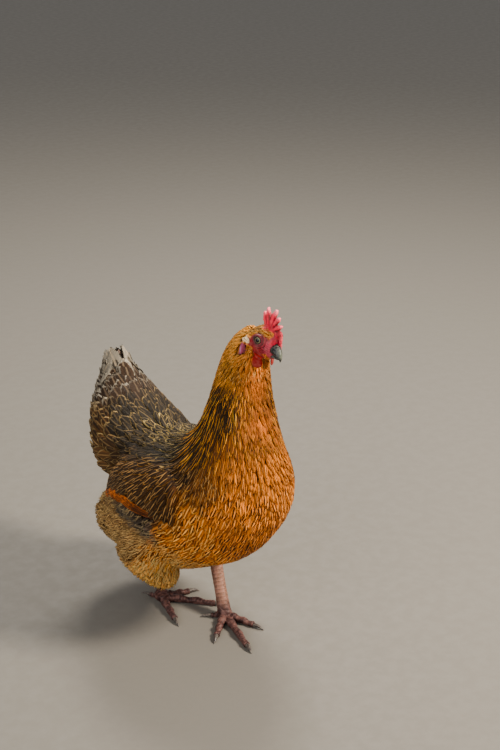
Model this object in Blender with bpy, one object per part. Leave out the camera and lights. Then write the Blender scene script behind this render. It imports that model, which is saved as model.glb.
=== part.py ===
"""A life-size laced hen caught in mid-step, as a still museum model.

The hen faces -Y, its left side is +X and +Z is up, all in metres. Soft forms are lofts:
closed skins over rings that run between a back line and a belly line, or tubes that follow
a path. Every named piece is one solid, and neighbours keep a hair's gap where they meet.
"""

import math

import bmesh
import bpy
from mathutils import Euler, Matrix, Vector
from mathutils.bvhtree import BVHTree

# Driving dimensions, in metres unless a name says otherwise
GAP = 0.0004                     # clearance between pieces that meet
BODY_POINTS = 24                 # points round a ring of the body
LIMB_POINTS = 12                 # points round a toe or shank
HEAD_PLACE = (0.1258, 0.0085, 0.3615)   # skull's middle: forward, left, up
HEAD_DOWN_DEG = 8.0              # bill below the horizon
HEAD_LEFT_DEG = -9.0             # face turned to the hen's left
EYE_RADIUS = 0.0050
EYE_PLACE = (0.0048, 0.0105, 0.0042)  # from the skull's middle: forward, out, up
# The comb, in millimetres in the head's own frame (forward, up)
COMB_CENTRE = (6.0, 12.0)        # where its points fan out from, in millimetres
COMB_REACH = 24.4                # from that centre to the tallest tip
# Its points, from the rear: degrees up from forward, and reach against the tallest.
COMB_POINTS = ((146, 0.93), (125, 0.99), (84, 1.0), (62, 0.90), (39, 0.85))
COMB_POINT_DEG = 6.5             # half of what one point's shoulders span
COMB_HALF_THICKNESS = 1.7
COMB_LEAN = 4.0                  # how far the tips hang to the hen's left
COMB_FOOT = ((23, 2), (20.5, 5), (16, 9), (8, 13), (-9, 11))
SHANK_RADII = (0.0080, 0.0068, 0.0064, 0.0074)
TOE_RADIUS = 0.0052
CLAW_LENGTH = 0.013

# Rings in millimetres: back line (forward, up), belly line (forward, up), half width, and
# how far the fullest width drops towards the belly line.
BODY_RINGS = (
    ((96, 368), (117, 353), 10.5, 0.05),
    ((84, 358), (120, 344), 17.5, 0.05),
    ((73, 340), (122, 328), 23.5, 0.05),
    ((67, 317), (123, 310), 28.5, 0.05),
    ((62, 292), (127, 284), 34, 0.03),
    ((53, 266), (137, 258), 40, 0.00),
    ((40, 243), (145, 230), 49, -0.04),
    ((20, 226), (151.5, 198), 63, -0.06),
    ((-2, 216), (148, 162), 76, -0.08),
    ((-20, 210), (128, 128), 81, -0.10),
    ((-36, 207), (101, 100), 83, -0.10),
    ((-50, 205), (68, 80), 83, -0.06),
    ((-62, 204), (28, 60), 80, 0.00),
    ((-72, 198), (-14, 50), 73, 0.12),
    ((-78, 180), (-52, 48), 67, 0.30),
    ((-82, 158), (-88, 54), 62, 0.35),
    ((-92, 138), (-110, 73), 54, 0.20),
    ((-107, 117), (-115, 97), 30, 0.00),
)
# The body from head to vent: each length's name, last ring position and number of sections.
BODY_LENGTHS = (("neck", 6.6, 12), ("breast", 10.5, 8), ("trunk", 14.2, 7), ("abdomen", 17.0, 6))
NECK_SWAY = (0.010, 5.5)         # how far the neck's top leans left, and the ring where that ends
PARTING = 0.02                   # ring positions left out between two lengths
WING_LIFT = 0.0024               # clearance between the folded wing and the flank

SADDLE_RINGS = (
    ((-26, 198), (-50, 120), 48, 0.05),
    ((-56, 208), (-86, 126), 60, 0.08),
    ((-84, 219), (-118, 140), 58, 0.10),
    ((-106, 232), (-139, 164), 48, 0.12),
    ((-122, 245), (-149, 190), 36, 0.15),
    ((-131, 254), (-152, 210), 25, 0.15),
)
TAIL_RINGS = (
    ((-112, 236), (-147, 190), 22, 0.20),
    ((-126, 253), (-154, 216), 22, 0.25),
    ((-135, 264), (-153, 240), 17, 0.25),
    ((-139, 270), (-151, 258), 11, 0.25),
)
# The skull, in its own frame: crown line, chin line (forward, up), half width, drop.
HEAD_RINGS = (
    ((-24, -2), (-18, -17), 12, 0.0),
    ((-17, 7), (-13, -20), 16.2, 0.0),
    ((-9, 13), (-7, -21.5), 16.8, 0.0),
    ((1, 16), (1, -21), 15.4, 0.0),
    ((9, 15.0), (9, -18.5), 13.2, -0.05),
    ((15, 12.0), (15, -15), 10.2, -0.05),
    ((18.6, 8.6), (18.6, -12.2), 7.3, -0.05),
    ((20.6, 5.4), (20.6, -9.2), 5.0, 0.0),
)
UPPER_BILL_RINGS = (
    ((16, 5.0), (16, -5.5), 6.0, 0.3),
    ((21, 5.0), (21, -6.0), 5.4, 0.3),
    ((25.5, 3.6), (25.5, -6.4), 4.4, 0.3),
    ((29, 0.6), (28.6, -7.2), 3.2, 0.3),
    ((31.6, -3.8), (30.8, -8.6), 1.8, 0.3),
    ((32, -9.8), (31.3, -10.1), 0.6, 0.0),
)
LOWER_BILL_RINGS = (
    ((15, -6.2), (15, -11.0), 5.0, 0.0),
    ((20.5, -6.6), (20, -11.0), 4.2, 0.0),
    ((24.5, -7.0), (24, -10.4), 3.0, 0.0),
    ((28, -7.9), (27.8, -9.6), 1.3, 0.0),
)
# The folded wing's sections: forward, up, half height, thickness at the middle.
# Flaps of skin: forward, out, up; half width, half thickness, half height; spread, in millimetres.
EARLOBE = (-14.5, 18.6, -14.5, 3.6, 2.4, 8.0, 0.0, 0)
WATTLE = (0.5, 8.5, -22.5, 7.2, 2.4, 9.0, 0.55, 38)
BODY_MIDDLE_UP = 0.14            # height that the wings' thickness spreads from
WING_SECTIONS = (
    (84, 188, 10, 3),
    (66, 184, 26, 6),
    (38, 180, 35, 8),
    (8, 173, 38, 9),
    (-16, 165, 34, 7),
    (-36, 155, 25, 5.5),
    (-50, 147, 16, 4),
    (-60, 141, 7, 2),
)
# Leg points: forward, left, up; then the plumed thigh's radius there.
THIGHS = {
    "left": ((34, 34, 128, 26), (30, 40, 108, 34), (18, 41, 91, 33), (7, 37, 76, 26),
             (9, 31, 65, 17), (18, 25, 55, 9.5)),
    "right": ((8, -36, 126, 26), (0, -42, 104, 36), (-8, -44, 84, 38), (-13, -41, 62, 32),
              (-9, -32, 43, 22), (-8, -28, 31, 11)),
}
SHANKS = {
    "left": ((7, 30, 74), (23, 23.5, 50), (40, 17.5, 27), (53, 13, 9)),
    "right": ((-17, -30, 50), (-14, -28.5, 38), (-14.5, -27, 24), (-20, -23.5, 9)),
}
FOOT_PAD = ((-0.006, 0, 0.006, 0.0045), (0, 0, 0.0072, 0.0082), (0.007, 0, 0.005, 0.0056))
# Each toe: name, heading in degrees to the hen's left, length with its claw in millimetres.
TOES = {
    "left": (("inner", -47, 58), ("middle", -15, 82), ("outer", 21, 52), ("hind", -125, 27)),
    "right": (("inner", 80, 48), ("middle", 43, 76), ("outer", -16, 62), ("hind", 200, 28)),
}


def at(forward, left, up):
    """A point of the hen, in metres, in world axes."""
    return Vector((left, -forward, up))


def at_mm(forward, left, up):
    return at(forward / 1000, left / 1000, up / 1000)


def collection(name):
    found = bpy.data.collections.get(name)
    if found is None:
        found = bpy.data.collections.new(name)
        bpy.context.scene.collection.children.link(found)
    return found


def material(name, colour, roughness):
    made = bpy.data.materials.new(name)
    made.use_nodes = True
    shader = made.node_tree.nodes["Principled BSDF"]
    shader.inputs["Base Color"].default_value = (*colour, 1.0)
    shader.inputs["Roughness"].default_value = roughness
    shader.inputs["Metallic"].default_value = 0.0
    return made


def finishes():
    return {
        "orange": material("orange_plumage", (0.62, 0.24, 0.04), 0.7),
        "brown": material("brown_plumage", (0.22, 0.13, 0.06), 0.7),
        "grey": material("tail_plumage", (0.38, 0.31, 0.25), 0.7),
        "comb": material("comb_skin", (0.62, 0.04, 0.05), 0.5),
        "lobe": material("earlobe_skin", (0.48, 0.14, 0.2), 0.6),
        "bill": material("bill_horn", (0.2, 0.2, 0.16), 0.35),
        "eye": material("eye_ball", (0.25, 0.1, 0.03), 0.1),
        "leg": material("leg_scales", (0.28, 0.14, 0.1), 0.5),
        "claw": material("claw_horn", (0.12, 0.08, 0.06), 0.4),
    }


def object_of(name, edit, finish=None, group="laced_hen"):
    """A new object from a bmesh, shaded smooth but for its sharp edges."""
    bmesh.ops.recalc_face_normals(edit, faces=edit.faces)
    mesh = bpy.data.meshes.new(name)
    edit.to_mesh(mesh)
    edit.free()
    mesh.shade_smooth()
    mesh.set_sharp_from_angle(angle=math.radians(50))
    made = bpy.data.objects.new(name, mesh)
    collection(group).objects.link(made)
    if finish:
        mesh.materials.append(finish)
    return made


def skin_rings(rings):
    """A closed bmesh through rings of equal point counts, with a fan over each end."""
    edit = bmesh.new()
    rows = [[edit.verts.new(point) for point in ring] for ring in rings]
    count = len(rows[0])
    for first, second in zip(rows, rows[1:]):
        for i in range(count):
            j = (i + 1) % count
            edit.faces.new((first[i], first[j], second[j], second[i]))
    for row in (rows[0], rows[-1]):
        middle = edit.verts.new(sum((v.co for v in row), Vector()) / count)
        for i in range(count):
            edit.faces.new((row[i], row[(i + 1) % count], middle))
    return edit


def spline(rows, position):
    """Catmull-Rom value of a list of number rows at a fractional index."""
    last = len(rows) - 1
    position = min(max(position, 0.0), float(last))
    k = min(int(position), last - 1)
    t = position - k
    around = (rows[min(max(k + n, 0), last)] for n in (-1, 0, 1, 2))
    return [
        0.5 * (2 * q + (r - p) * t + (2 * p - 5 * q + 4 * r - s) * t * t
               + (3 * q - p - 3 * r + s) * t * t * t)
        for p, q, r, s in zip(*around)
    ]


def ring_between(back_f, back_u, belly_f, belly_u, half_width, drop, count):
    """A ring square to the midplane, from a back point to a belly point."""
    top, low = at_mm(back_f, 0, back_u), at_mm(belly_f, 0, belly_u)
    middle, half = (top + low) / 2, (top - low) / 2
    points = []
    for i in range(count):
        angle = math.tau * i / count
        wide = half_width / 1000 * math.sin(angle) * (1 - drop * math.cos(angle))
        points.append(middle + half * math.cos(angle) + Vector((wide, 0, 0)))
    return points


def spots(first, last, steps):
    """Evenly spaced ring positions, both ends among them."""
    return [first + (last - first) * n / steps for n in range(steps + 1)]


def loft(name, rings, places, finish, count=BODY_POINTS):
    """A solid through rings, with a section at each of the given ring positions."""
    rows = [(*back, *belly, width, drop) for back, belly, width, drop in rings]
    return object_of(name, skin_rings([ring_between(*spline(rows, p), count) for p in places]), finish)


def body_skin(places):
    """A closed length of the body, with the neck leaning under the head."""
    rows = [(*back, *belly, width, drop) for back, belly, width, drop in BODY_RINGS]
    lean, end = NECK_SWAY
    rings = []
    for place in places:
        aside = Vector((lean * max(1 - place / end, 0) ** 1.5, 0, 0))
        rings.append([point + aside for point in ring_between(*spline(rows, place), BODY_POINTS)])
    return skin_rings(rings)


def tube_skin(path, steps, count=LIMB_POINTS, floor=None, level=False):
    """A closed bmesh round a path of (point, radius), with a flat sole or with level rings."""
    rows = [(*point, radius) for point, radius in path]
    sections = [spline(rows, place) for place in spots(0, len(rows) - 1, steps)]
    centres = [Vector(section[:3]) for section in sections]
    rings = []
    for n, centre in enumerate(centres):
        along = (centres[min(n + 1, steps)] - centres[max(n - 1, 0)]).normalized()
        if level:
            along = Vector((0, 0, -1))
        side = along.cross(Vector((0, 0, 1)))
        side = side.normalized() if side.length > 0.05 else Vector((1, 0, 0))
        up = side.cross(along)
        ring = []
        for i in range(count):
            angle = math.tau * (i + 0.5) / count
            point = centre + sections[n][3] * (side * math.cos(angle) + up * math.sin(angle))
            if floor is not None:
                point.z = max(point.z, floor)
            ring.append(point)
        rings.append(ring)
    return skin_rings(rings)


def shape_of(things):
    """Every surface of the given pieces, ready for rays."""
    bpy.context.view_layer.update()
    points, faces = [], []
    for thing in things:
        start = len(points)
        points += [vert.co.copy() for vert in thing.data.vertices]
        faces += [[start + v for v in face.vertices] for face in thing.data.polygons]
    return BVHTree.FromPolygons(points, faces)


def wing(name, side, finish, body, steps=14, across=8):
    """The folded wing: a shell laid on the flank, thickest along its middle."""
    rings = []
    for n in range(steps + 1):
        forward, up, tall, thick = spline(WING_SECTIONS, (len(WING_SECTIONS) - 1) * n / steps)
        inner, outer = [], []
        for m in range(across):
            share = 1 - 2 * m / (across - 1)
            start = at_mm(forward, side * 200, up + tall * share)
            hit = body.ray_cast(start, Vector((-side, 0, 0)))[0]
            away = (hit - Vector((0, hit.y, BODY_MIDDLE_UP))).normalized()
            swell = (1 + thick * math.sqrt(1 - share * share)) / 1000
            inner.append(hit + away * WING_LIFT)
            outer.append(hit + away * (WING_LIFT + swell))
        rings.append(inner + outer[::-1])
    return object_of(name, skin_rings(rings), finish)


def join(thing, *others):
    """Makes a piece one solid with hidden others."""
    for other in others:
        added = thing.modifiers.new(f"with_{other.name}", "BOOLEAN")
        added.operation = "UNION"
        added.solver = "EXACT"
        added.object = other
    return thing


def in_head(thing):
    """Puts a piece modelled about the skull's middle where the head is carried."""
    turn = Euler((math.radians(HEAD_DOWN_DEG), 0, math.radians(HEAD_LEFT_DEG)), "XYZ").to_matrix()
    thing.data.transform(Matrix.Translation(at(*HEAD_PLACE)) @ turn.to_4x4())
    return thing


def ball(name, centre, radius, finish):
    edit = bmesh.new()
    bmesh.ops.create_uvsphere(edit, u_segments=10, v_segments=7, radius=radius)
    bmesh.ops.translate(edit, verts=edit.verts, vec=centre)
    return object_of(name, edit, finish)


def hanging(name, side, size, finish):
    """A flap of skin that hangs beside the head: an egg, flat and fuller below."""
    forward, out, up, wide, thick, tall, spread, splay = size
    turn = math.radians(splay)
    edit = bmesh.new()
    bmesh.ops.create_uvsphere(edit, u_segments=12, v_segments=8, radius=1.0)
    for vert in edit.verts:
        x, y, z = vert.co
        fuller = 1 - 0.35 * z
        ahead, aside = -y * wide * fuller, side * x * thick * fuller
        vert.co = at_mm(forward + ahead * math.cos(turn) + aside * math.sin(turn),
                        side * (out + spread * (1 - z) + aside * math.cos(turn) - ahead * math.sin(turn)),
                        up + z * tall)
    return in_head(object_of(name, edit, finish))


def comb(finish):
    """A single comb: a thin blade over crown and forehead, cut into points and leaning left."""
    centre = Vector(COMB_CENTRE)

    def on_fan(degrees, reach):
        return centre + reach * Vector((math.cos(math.radians(degrees)), math.sin(math.radians(degrees))))

    outline = [Vector(point) for point in COMB_FOOT]
    for n, (degrees, share) in enumerate(COMB_POINTS):
        reach = COMB_REACH * share
        outline += [on_fan(degrees + COMB_POINT_DEG, reach * 0.86), on_fan(degrees + 1.5, reach),
                    on_fan(degrees - 1.5, reach), on_fan(degrees - COMB_POINT_DEG, reach * 0.86)]
        if n + 1 < len(COMB_POINTS):
            outline.append(on_fan((degrees + COMB_POINTS[n + 1][0]) / 2, reach * 0.70))
    outline += [on_fan(19, COMB_REACH * 0.80), on_fan(-3, COMB_REACH * 0.80)]
    edit = bmesh.new()
    sides = []
    for side in (1, -1):
        row = []
        for point in outline:
            far = min(max((point - centre).length / COMB_REACH - 0.45, 0) / 0.55, 1)
            across = COMB_LEAN * far + side * COMB_HALF_THICKNESS * (1 - 0.45 * far)
            row.append(edit.verts.new(at_mm(point.x, across, point.y)))
        sides.append(row)
    for i, low in enumerate(sides[0]):
        j = (i + 1) % len(outline)
        edit.faces.new((low, sides[0][j], sides[1][j], sides[1][i]))
    caps = [edit.faces.new(row) for row in sides]
    bmesh.ops.triangulate(edit, faces=caps)
    return object_of("comb", edit, finish)


def guide(name, edit):
    """A hidden solid that only shapes others."""
    made = object_of(name, edit, group="cutters")
    made.hide_render = True
    made.display_type = "WIRE"
    return made


def grown(thing):
    """A hidden copy of a piece, swollen by the gap, to cut its neighbours with."""
    bpy.context.view_layer.update()
    edit = bmesh.new()
    edit.from_object(thing, bpy.context.evaluated_depsgraph_get())
    made = guide(f"cutter_{thing.name}", edit)
    swell = made.modifiers.new("swell", "DISPLACE")
    swell.strength = GAP
    swell.mid_level = 0.0
    return made


def cut(thing, *neighbours):
    """Takes each neighbour, and a gap round it, out of a piece."""
    for neighbour in neighbours:
        taken = thing.modifiers.new(f"less_{neighbour.name}", "BOOLEAN")
        taken.operation = "DIFFERENCE"
        taken.solver = "EXACT"
        taken.object = grown(neighbour)
    return thing


def head(finish, neck):
    """The head and all that it carries, pressed into the top of the neck."""
    skull = in_head(loft("head", HEAD_RINGS, spots(0, 7, 9), finish["orange"], 16))
    upper = in_head(loft("bill_upper", UPPER_BILL_RINGS, spots(0, 5, 10), finish["bill"], 12))
    lower = in_head(loft("bill_lower", LOWER_BILL_RINGS, spots(0, 3, 6), finish["bill"], 12))
    crest = in_head(comb(finish["comb"]))
    cut(neck, skull)
    cut(crest, skull, upper)
    eyes = []
    for word, side in (("left", 1), ("right", -1)):
        forward, out, up = EYE_PLACE
        eyes.append(in_head(ball(f"eye_{word}", at(forward, side * out, up), EYE_RADIUS, finish["eye"])))
        lobe = hanging(f"earlobe_{word}", side, EARLOBE, finish["lobe"])
        wattle = hanging(f"wattle_{word}", side, WATTLE, finish["comb"])
        cut(neck, lobe, wattle)
        cut(lobe, skull)
        cut(wattle, skull, lower)
    cut(skull, *eyes, upper, lower)


def toe(name, foot, heading, length, joints, finish):
    """One toe with its knuckles, as a hidden solid, and the claw at its end."""
    turn = math.radians(heading)
    ray = at(math.cos(turn), math.sin(turn), 0)
    bare = length / 1000 - CLAW_LENGTH
    stout = TOE_RADIUS * (0.82 if joints == 2 else 1.0)
    steps = joints * 2
    path = []
    for n in range(steps + 1):
        share = n / steps
        radius = stout * (1 - 0.34 * share) * (0.86 + 0.14 * math.cos(math.tau * share * joints))
        rise = 0.0008 * math.sin(math.pi * share)
        path.append((foot + ray * bare * share + Vector((0, 0, radius * 0.86 + rise)), radius))
    end, root = foot + ray * (bare + 2 * GAP), path[-1][1] * 0.8
    shape = ((0.0, 1.1, 1.0), (0.35, 1.25, 0.8), (0.7, 0.8, 0.5), (1.0, 0.1, 0.1))
    claw = [(end + ray * CLAW_LENGTH * out + Vector((0, 0, root * up)), root * thick)
            for out, up, thick in shape]
    object_of(f"claw_{name}", tube_skin(claw, 4, 6, floor=0.0), finish["claw"])
    return guide(f"toe_{name}", tube_skin(path, steps, 8, floor=0.0))


def leg(word, finish):
    """One leg: scaly shank, and foot with its toes; returns its plumed thigh."""
    plumes = [(at_mm(*p[:3]), p[3] / 1000) for p in THIGHS[word]]
    thigh = object_of(f"thigh_{word}", tube_skin(plumes, 9, 18, level=True), finish["orange"])
    bone = [(at_mm(*p), r) for p, r in zip(SHANKS[word], SHANK_RADII)]
    shank = object_of(f"shank_{word}", tube_skin(bone, 6), finish["leg"])
    middle = at_mm(*SHANKS[word][-1])
    middle.z = 0
    sole = [(middle + at(*place), radius) for *place, radius in FOOT_PAD]
    foot = object_of(f"foot_{word}", tube_skin(sole, 4, 8, floor=0.0), finish["leg"])
    for name, heading, length in TOES[word]:
        joints = 2 if name == "hind" else 3
        join(foot, toe(f"{name}_{word}", middle, heading, length, joints, finish))
    cut(foot, shank)
    cut(shank, thigh)
    return thigh


def clear():
    for old in list(bpy.data.objects):
        bpy.data.objects.remove(old, do_unlink=True)


def stand_on_origin():
    """Moves everything so that the feet stand at zero, midway under the whole hen."""
    bpy.context.view_layer.update()
    graph = bpy.context.evaluated_depsgraph_get()
    corners = [thing.matrix_world @ Vector(corner)
               for thing in collection("laced_hen").objects
               for corner in thing.evaluated_get(graph).bound_box]
    low = [min(corner[axis] for corner in corners) for axis in range(3)]
    high = [max(corner[axis] for corner in corners) for axis in range(3)]
    move = Vector((-(low[0] + high[0]) / 2, -(low[1] + high[1]) / 2, -low[2]))
    for thing in bpy.data.objects:
        thing.location += move


def body(finish):
    """The lengths of the body by name, and a hidden solid of them all to cut neighbours with."""
    made, every, first = {}, [], 0.0
    for name, last, steps in BODY_LENGTHS:
        places = spots(first, last, steps)
        made[name] = object_of(name, body_skin(places), finish["brown" if name == "trunk" else "orange"])
        every += places
        first = last + PARTING
    return made, guide("whole_body", body_skin(every))


def build():
    clear()
    finish = finishes()
    lengths, whole = body(finish)
    saddle = loft("saddle", SADDLE_RINGS, spots(0, 5, 9), finish["brown"])
    tail = loft("tail", TAIL_RINGS, spots(0, 3, 6), finish["grey"], 20)
    flank = shape_of((whole, saddle))
    for word, side in (("left", 1), ("right", -1)):
        wing(f"wing_{word}", side, finish["brown"], flank)
        cut(leg(word, finish), whole)
    for name in ("breast", "trunk", "abdomen"):
        cut(lengths[name], saddle)
    cut(saddle, tail)
    head(finish, lengths["neck"])
    stand_on_origin()


build()
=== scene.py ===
"""A gold laced hen, standing: skin, feathers, head, legs, floor and lights."""

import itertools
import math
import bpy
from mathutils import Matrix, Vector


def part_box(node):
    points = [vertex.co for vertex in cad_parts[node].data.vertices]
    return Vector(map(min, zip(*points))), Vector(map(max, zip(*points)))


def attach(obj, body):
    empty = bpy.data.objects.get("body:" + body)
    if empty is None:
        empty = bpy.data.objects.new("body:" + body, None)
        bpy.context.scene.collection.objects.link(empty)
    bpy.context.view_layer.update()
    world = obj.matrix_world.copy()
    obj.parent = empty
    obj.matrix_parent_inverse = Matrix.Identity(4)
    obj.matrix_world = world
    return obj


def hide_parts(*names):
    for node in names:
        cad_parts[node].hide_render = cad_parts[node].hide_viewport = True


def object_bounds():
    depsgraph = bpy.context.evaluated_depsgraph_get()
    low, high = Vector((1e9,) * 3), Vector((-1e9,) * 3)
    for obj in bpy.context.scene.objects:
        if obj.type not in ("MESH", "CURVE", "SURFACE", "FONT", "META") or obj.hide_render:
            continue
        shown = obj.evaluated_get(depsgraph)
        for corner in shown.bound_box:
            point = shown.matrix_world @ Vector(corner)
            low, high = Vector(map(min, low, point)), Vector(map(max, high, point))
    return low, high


bl_info = {
    "name": "Laced Hen",
    "version": (1, 0, 0),
    "blender": (4, 5, 0),
    "location": "View3D > Sidebar > Hen",
    "description": "Dresses the solid hen in skin and feathers, one piece at a time",
    "category": "Add Mesh",
}

import bpy
import numpy as np
from bpy.props import FloatProperty, FloatVectorProperty, IntProperty, PointerProperty
from mathutils import Quaternion, Vector
from mathutils.bvhtree import BVHTree

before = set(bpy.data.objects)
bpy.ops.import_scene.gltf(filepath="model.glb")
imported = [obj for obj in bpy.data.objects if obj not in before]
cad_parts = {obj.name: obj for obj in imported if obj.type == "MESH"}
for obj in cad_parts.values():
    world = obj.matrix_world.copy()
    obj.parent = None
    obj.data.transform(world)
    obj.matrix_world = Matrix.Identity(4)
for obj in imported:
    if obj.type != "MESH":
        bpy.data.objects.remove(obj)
SOLID_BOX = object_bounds()

MM = 0.001
SIDES = (("left", 1.0), ("right", -1.0))
# Where the hen's own measuring point stands in the frame, in millimetres.
SHIFT = (0.04, 1.06, 0.0)

BODY_NODES = ("neck", "breast", "trunk", "abdomen", "saddle", "tail",
              "thigh_left", "thigh_right", "wing_left", "wing_right")
HEAD_NODES = ("head", "comb", "wattle_left", "wattle_right", "earlobe_left", "earlobe_right")
LEG_NODES = ("shank_left", "shank_right", "foot_left", "foot_right")
WINGS = ("wing_left", "wing_right")

# How near the faces of the solid's box a feather may come before it is drawn back.
HELD = 3 * MM
# How far the guides for the coat's lie and for its markings reach, in millimetres.
LIE_REACH, MARKED_REACH = 16.0, 9.0
# How wide a patch of its finish each feather has where the finishes are laid flat.
PATCH = 0.003

# How deep the coat lies over the skin on each part, in millimetres.
COAT_DEPTH = {"neck": 4.0, "breast": 5.5, "trunk": 6.0, "abdomen": 7.0, "saddle": 4.5,
              "tail": 3.5, "thigh_left": 4.5, "thigh_right": 4.5,
              "wing_left": 1.6, "wing_right": 1.6, "head": 1.2}

# The lie of the coat: a place and the way its feathers point, each as forward, to the
# hen's own side, and up, in millimetres. The two sides mirror each other.
LIE = (
    ((126, 0, 372), (-1, 0, 0.1)), ((110, 0, 378), (-1, 0, -0.3)), ((114, 14, 352), (-0.8, 0, -0.6)),
    ((128, 6, 338), (-0.3, 0, -1)), ((94, 0, 360), (-0.5, 0, -1)), ((100, 20, 325), (-0.25, 0, -1)),
    ((128, 8, 305), (0.1, 0, -1)), ((76, 0, 320), (-0.35, 0, -1)), ((60, 0, 280), (-0.5, 0, -0.9)),
    ((95, 35, 280), (0.04, 0.05, -1)), ((135, 15, 268), (0.15, 0, -1)), ((80, 42, 250), (0.0, 0.1, -1)),
    ((70, 50, 232), (-0.22, 0.1, -1)), ((40, 15, 248), (-0.85, 0.1, -0.5)), ((148, 20, 222), (0, 0.05, -1)),
    ((110, 55, 215), (0.0, 0.05, -1)), ((102, 48, 234), (0.08, 0.05, -1)), ((140, 25, 175), (-0.35, 0.1, -1)),
    ((105, 60, 160), (-0.5, 0.05, -0.85)), ((120, 20, 125), (-0.8, 0, -0.6)), ((70, 30, 84), (-0.95, 0, -0.3)),
    ((60, 68, 130), (-0.86, 0, -0.52)), ((-10, 20, 212), (-1, 0.15, -0.05)),
    ((-10, 60, 195), (-0.78, 0.1, -0.64)), ((30, 90, 178), (-0.68, 0, -0.73)),
    ((-40, 75, 160), (-0.8, 0, -0.6)), ((70, 78, 195), (-0.5, 0, -0.87)), ((92, 70, 180), (-0.38, 0, -0.92)),
    ((-60, 30, 205), (-0.85, 0.2, 0.2)), ((-60, 60, 170), (-0.95, 0.1, -0.25)),
    ((-95, 15, 225), (-0.75, 0, 0.6)), ((-100, 35, 190), (-0.85, 0, 0.35)),
    ((-130, 12, 245), (-0.55, 0, 0.85)), ((-125, 20, 215), (-0.75, 0, 0.65)),
    ((-95, 30, 140), (-0.95, 0, -0.25)), ((-115, 10, 160), (-0.6, 0, -0.6)),
    ((-80, 40, 100), (-0.85, 0, -0.4)), ((-60, 15, 62), (-0.7, 0, -0.5)), ((10, 78, 108), (-0.85, 0, -0.5)),
    ((-17, 73, 105), (-0.93, 0, -0.37)), ((24, 50, 76), (-0.6, 0, -0.8)), ((4, 80, 140), (-0.88, 0, -0.45)),
    ((6, 40, 50), (-0.35, -0.1, -1)), ((-66, 69, 98), (-0.95, 0, -0.3)),
)


# --- measuring and meshes -------------------------------------------------------------

def place(points):
    """Forward, left, up in millimetres, as places in the frame."""
    p = np.atleast_2d(np.asarray(points, float))
    return np.stack([p[:, 1] + SHIFT[0], -p[:, 0] + SHIFT[1], p[:, 2] + SHIFT[2]], axis=1) * MM


def measure(points):
    """Places in the frame, as forward, left, up in millimetres."""
    p = np.atleast_2d(points) / MM
    return np.stack([-(p[:, 1] - SHIFT[1]), p[:, 0] - SHIFT[0], p[:, 2] - SHIFT[2]], axis=1)


def unit(v):
    return v / np.maximum(np.linalg.norm(v, axis=-1, keepdims=True), 1e-9)


def ease(x, low, high):
    """0 below low, 1 above high, and smooth between."""
    t = np.clip((x - low) / (high - low), 0, 1)
    return t * t * (3 - 2 * t)


def fade(x, low, high):
    """1 below low, 0 above high, and smooth between."""
    return 1 - ease(x, low, high)


def oval(places, middle, reach):
    """How far out places lie from the middle of an oval, where 1 is its rim."""
    return np.linalg.norm((places - np.array(middle)) / np.array(reach), axis=1)


def angles(turns):
    """The angles of equal steps round a circle."""
    return [2 * math.pi * k / turns for k in range(turns)]


def blend(hue, colour, share):
    """Hues with a share of each turned into another colour."""
    share = np.reshape(share, (-1, 1))
    return hue * (1 - share) + np.array(colour[:]) * share


def read(items, key, per=3, kind=float):
    """One thing about every item of a mesh, as rows of numbers."""
    values = np.empty(len(items) * per, kind)
    items.foreach_get(key, values)
    return values.reshape(-1, per)


def points_of(mesh):
    return read(mesh.vertices, "co")


def normals_of(mesh):
    return read(mesh.vertex_normals, "vector")


def set_points(mesh, co):
    mesh.vertices.foreach_set("co", np.ascontiguousarray(co, float).ravel())
    mesh.update()


def store(mesh, key, values):
    """Keep a number or a colour for each point of a mesh."""
    if values.ndim == 1:
        layer = mesh.attributes.new(key, "FLOAT", "POINT")
        layer.data.foreach_set("value", values.astype(np.float32))
    else:
        data = np.ones((len(values), 4), np.float32)
        data[:, :values.shape[1]] = values
        layer = mesh.attributes.new(key, "FLOAT_COLOR", "POINT")
        layer.data.foreach_set("color", data.ravel())


def new_mesh(name, co, faces):
    """A mesh from points and an array of four-cornered faces."""
    mesh = bpy.data.meshes.new(name)
    mesh.vertices.add(len(co))
    mesh.vertices.foreach_set("co", np.ascontiguousarray(co, float).ravel())
    mesh.loops.add(faces.size)
    mesh.loops.foreach_set("vertex_index", faces.ravel().astype(np.int32))
    mesh.polygons.add(len(faces))
    mesh.polygons.foreach_set("loop_start", np.arange(0, faces.size, 4, dtype=np.int32))
    mesh.update(calc_edges=True)
    mesh.validate()
    return mesh


def mesh_of(co, faces, name="part"):
    """A mesh from points and lists of corners."""
    mesh = bpy.data.meshes.new(name)
    mesh.from_pydata(np.asarray(co).tolist(), [], faces)
    return mesh


def between_rings(rows, turns, start=0, closed=False):
    """The faces between rings of points that follow each other."""
    faces = []
    for i in range(rows if closed else rows - 1):
        p, q = start + i * turns, start + (i + 1) % rows * turns
        faces += [[p + k, q + k, q + (k + 1) % turns, p + (k + 1) % turns] for k in range(turns)]
    return faces


def show(name, mesh, *finishes):
    """Put a mesh in the scene as a piece with its finishes."""
    obj = bpy.data.objects.new(name, mesh)
    bpy.context.scene.collection.objects.link(obj)
    for finish in finishes:
        mesh.materials.append(finish)
    return obj


def paint(mesh, hue):
    """Give a mesh its own hue, all over or at each point."""
    store(mesh, "hue", np.clip(np.broadcast_to(hue, (len(mesh.vertices), 3)), 0, 1))


def smooth_shaded(mesh):
    mesh.polygons.foreach_set("use_smooth", np.ones(len(mesh.polygons), bool))
    mesh.update()


def merged(meshes, grow=0.0):
    """The points and faces of several meshes together, each grown a little all round."""
    co, faces, start = [], [], 0
    for mesh in meshes:
        co.append(points_of(mesh))
        if grow:
            co[-1] += normals_of(mesh) * grow
        faces += [[start + i for i in p.vertices] for p in mesh.polygons]
        start += len(mesh.vertices)
    return np.concatenate(co), faces


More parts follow.
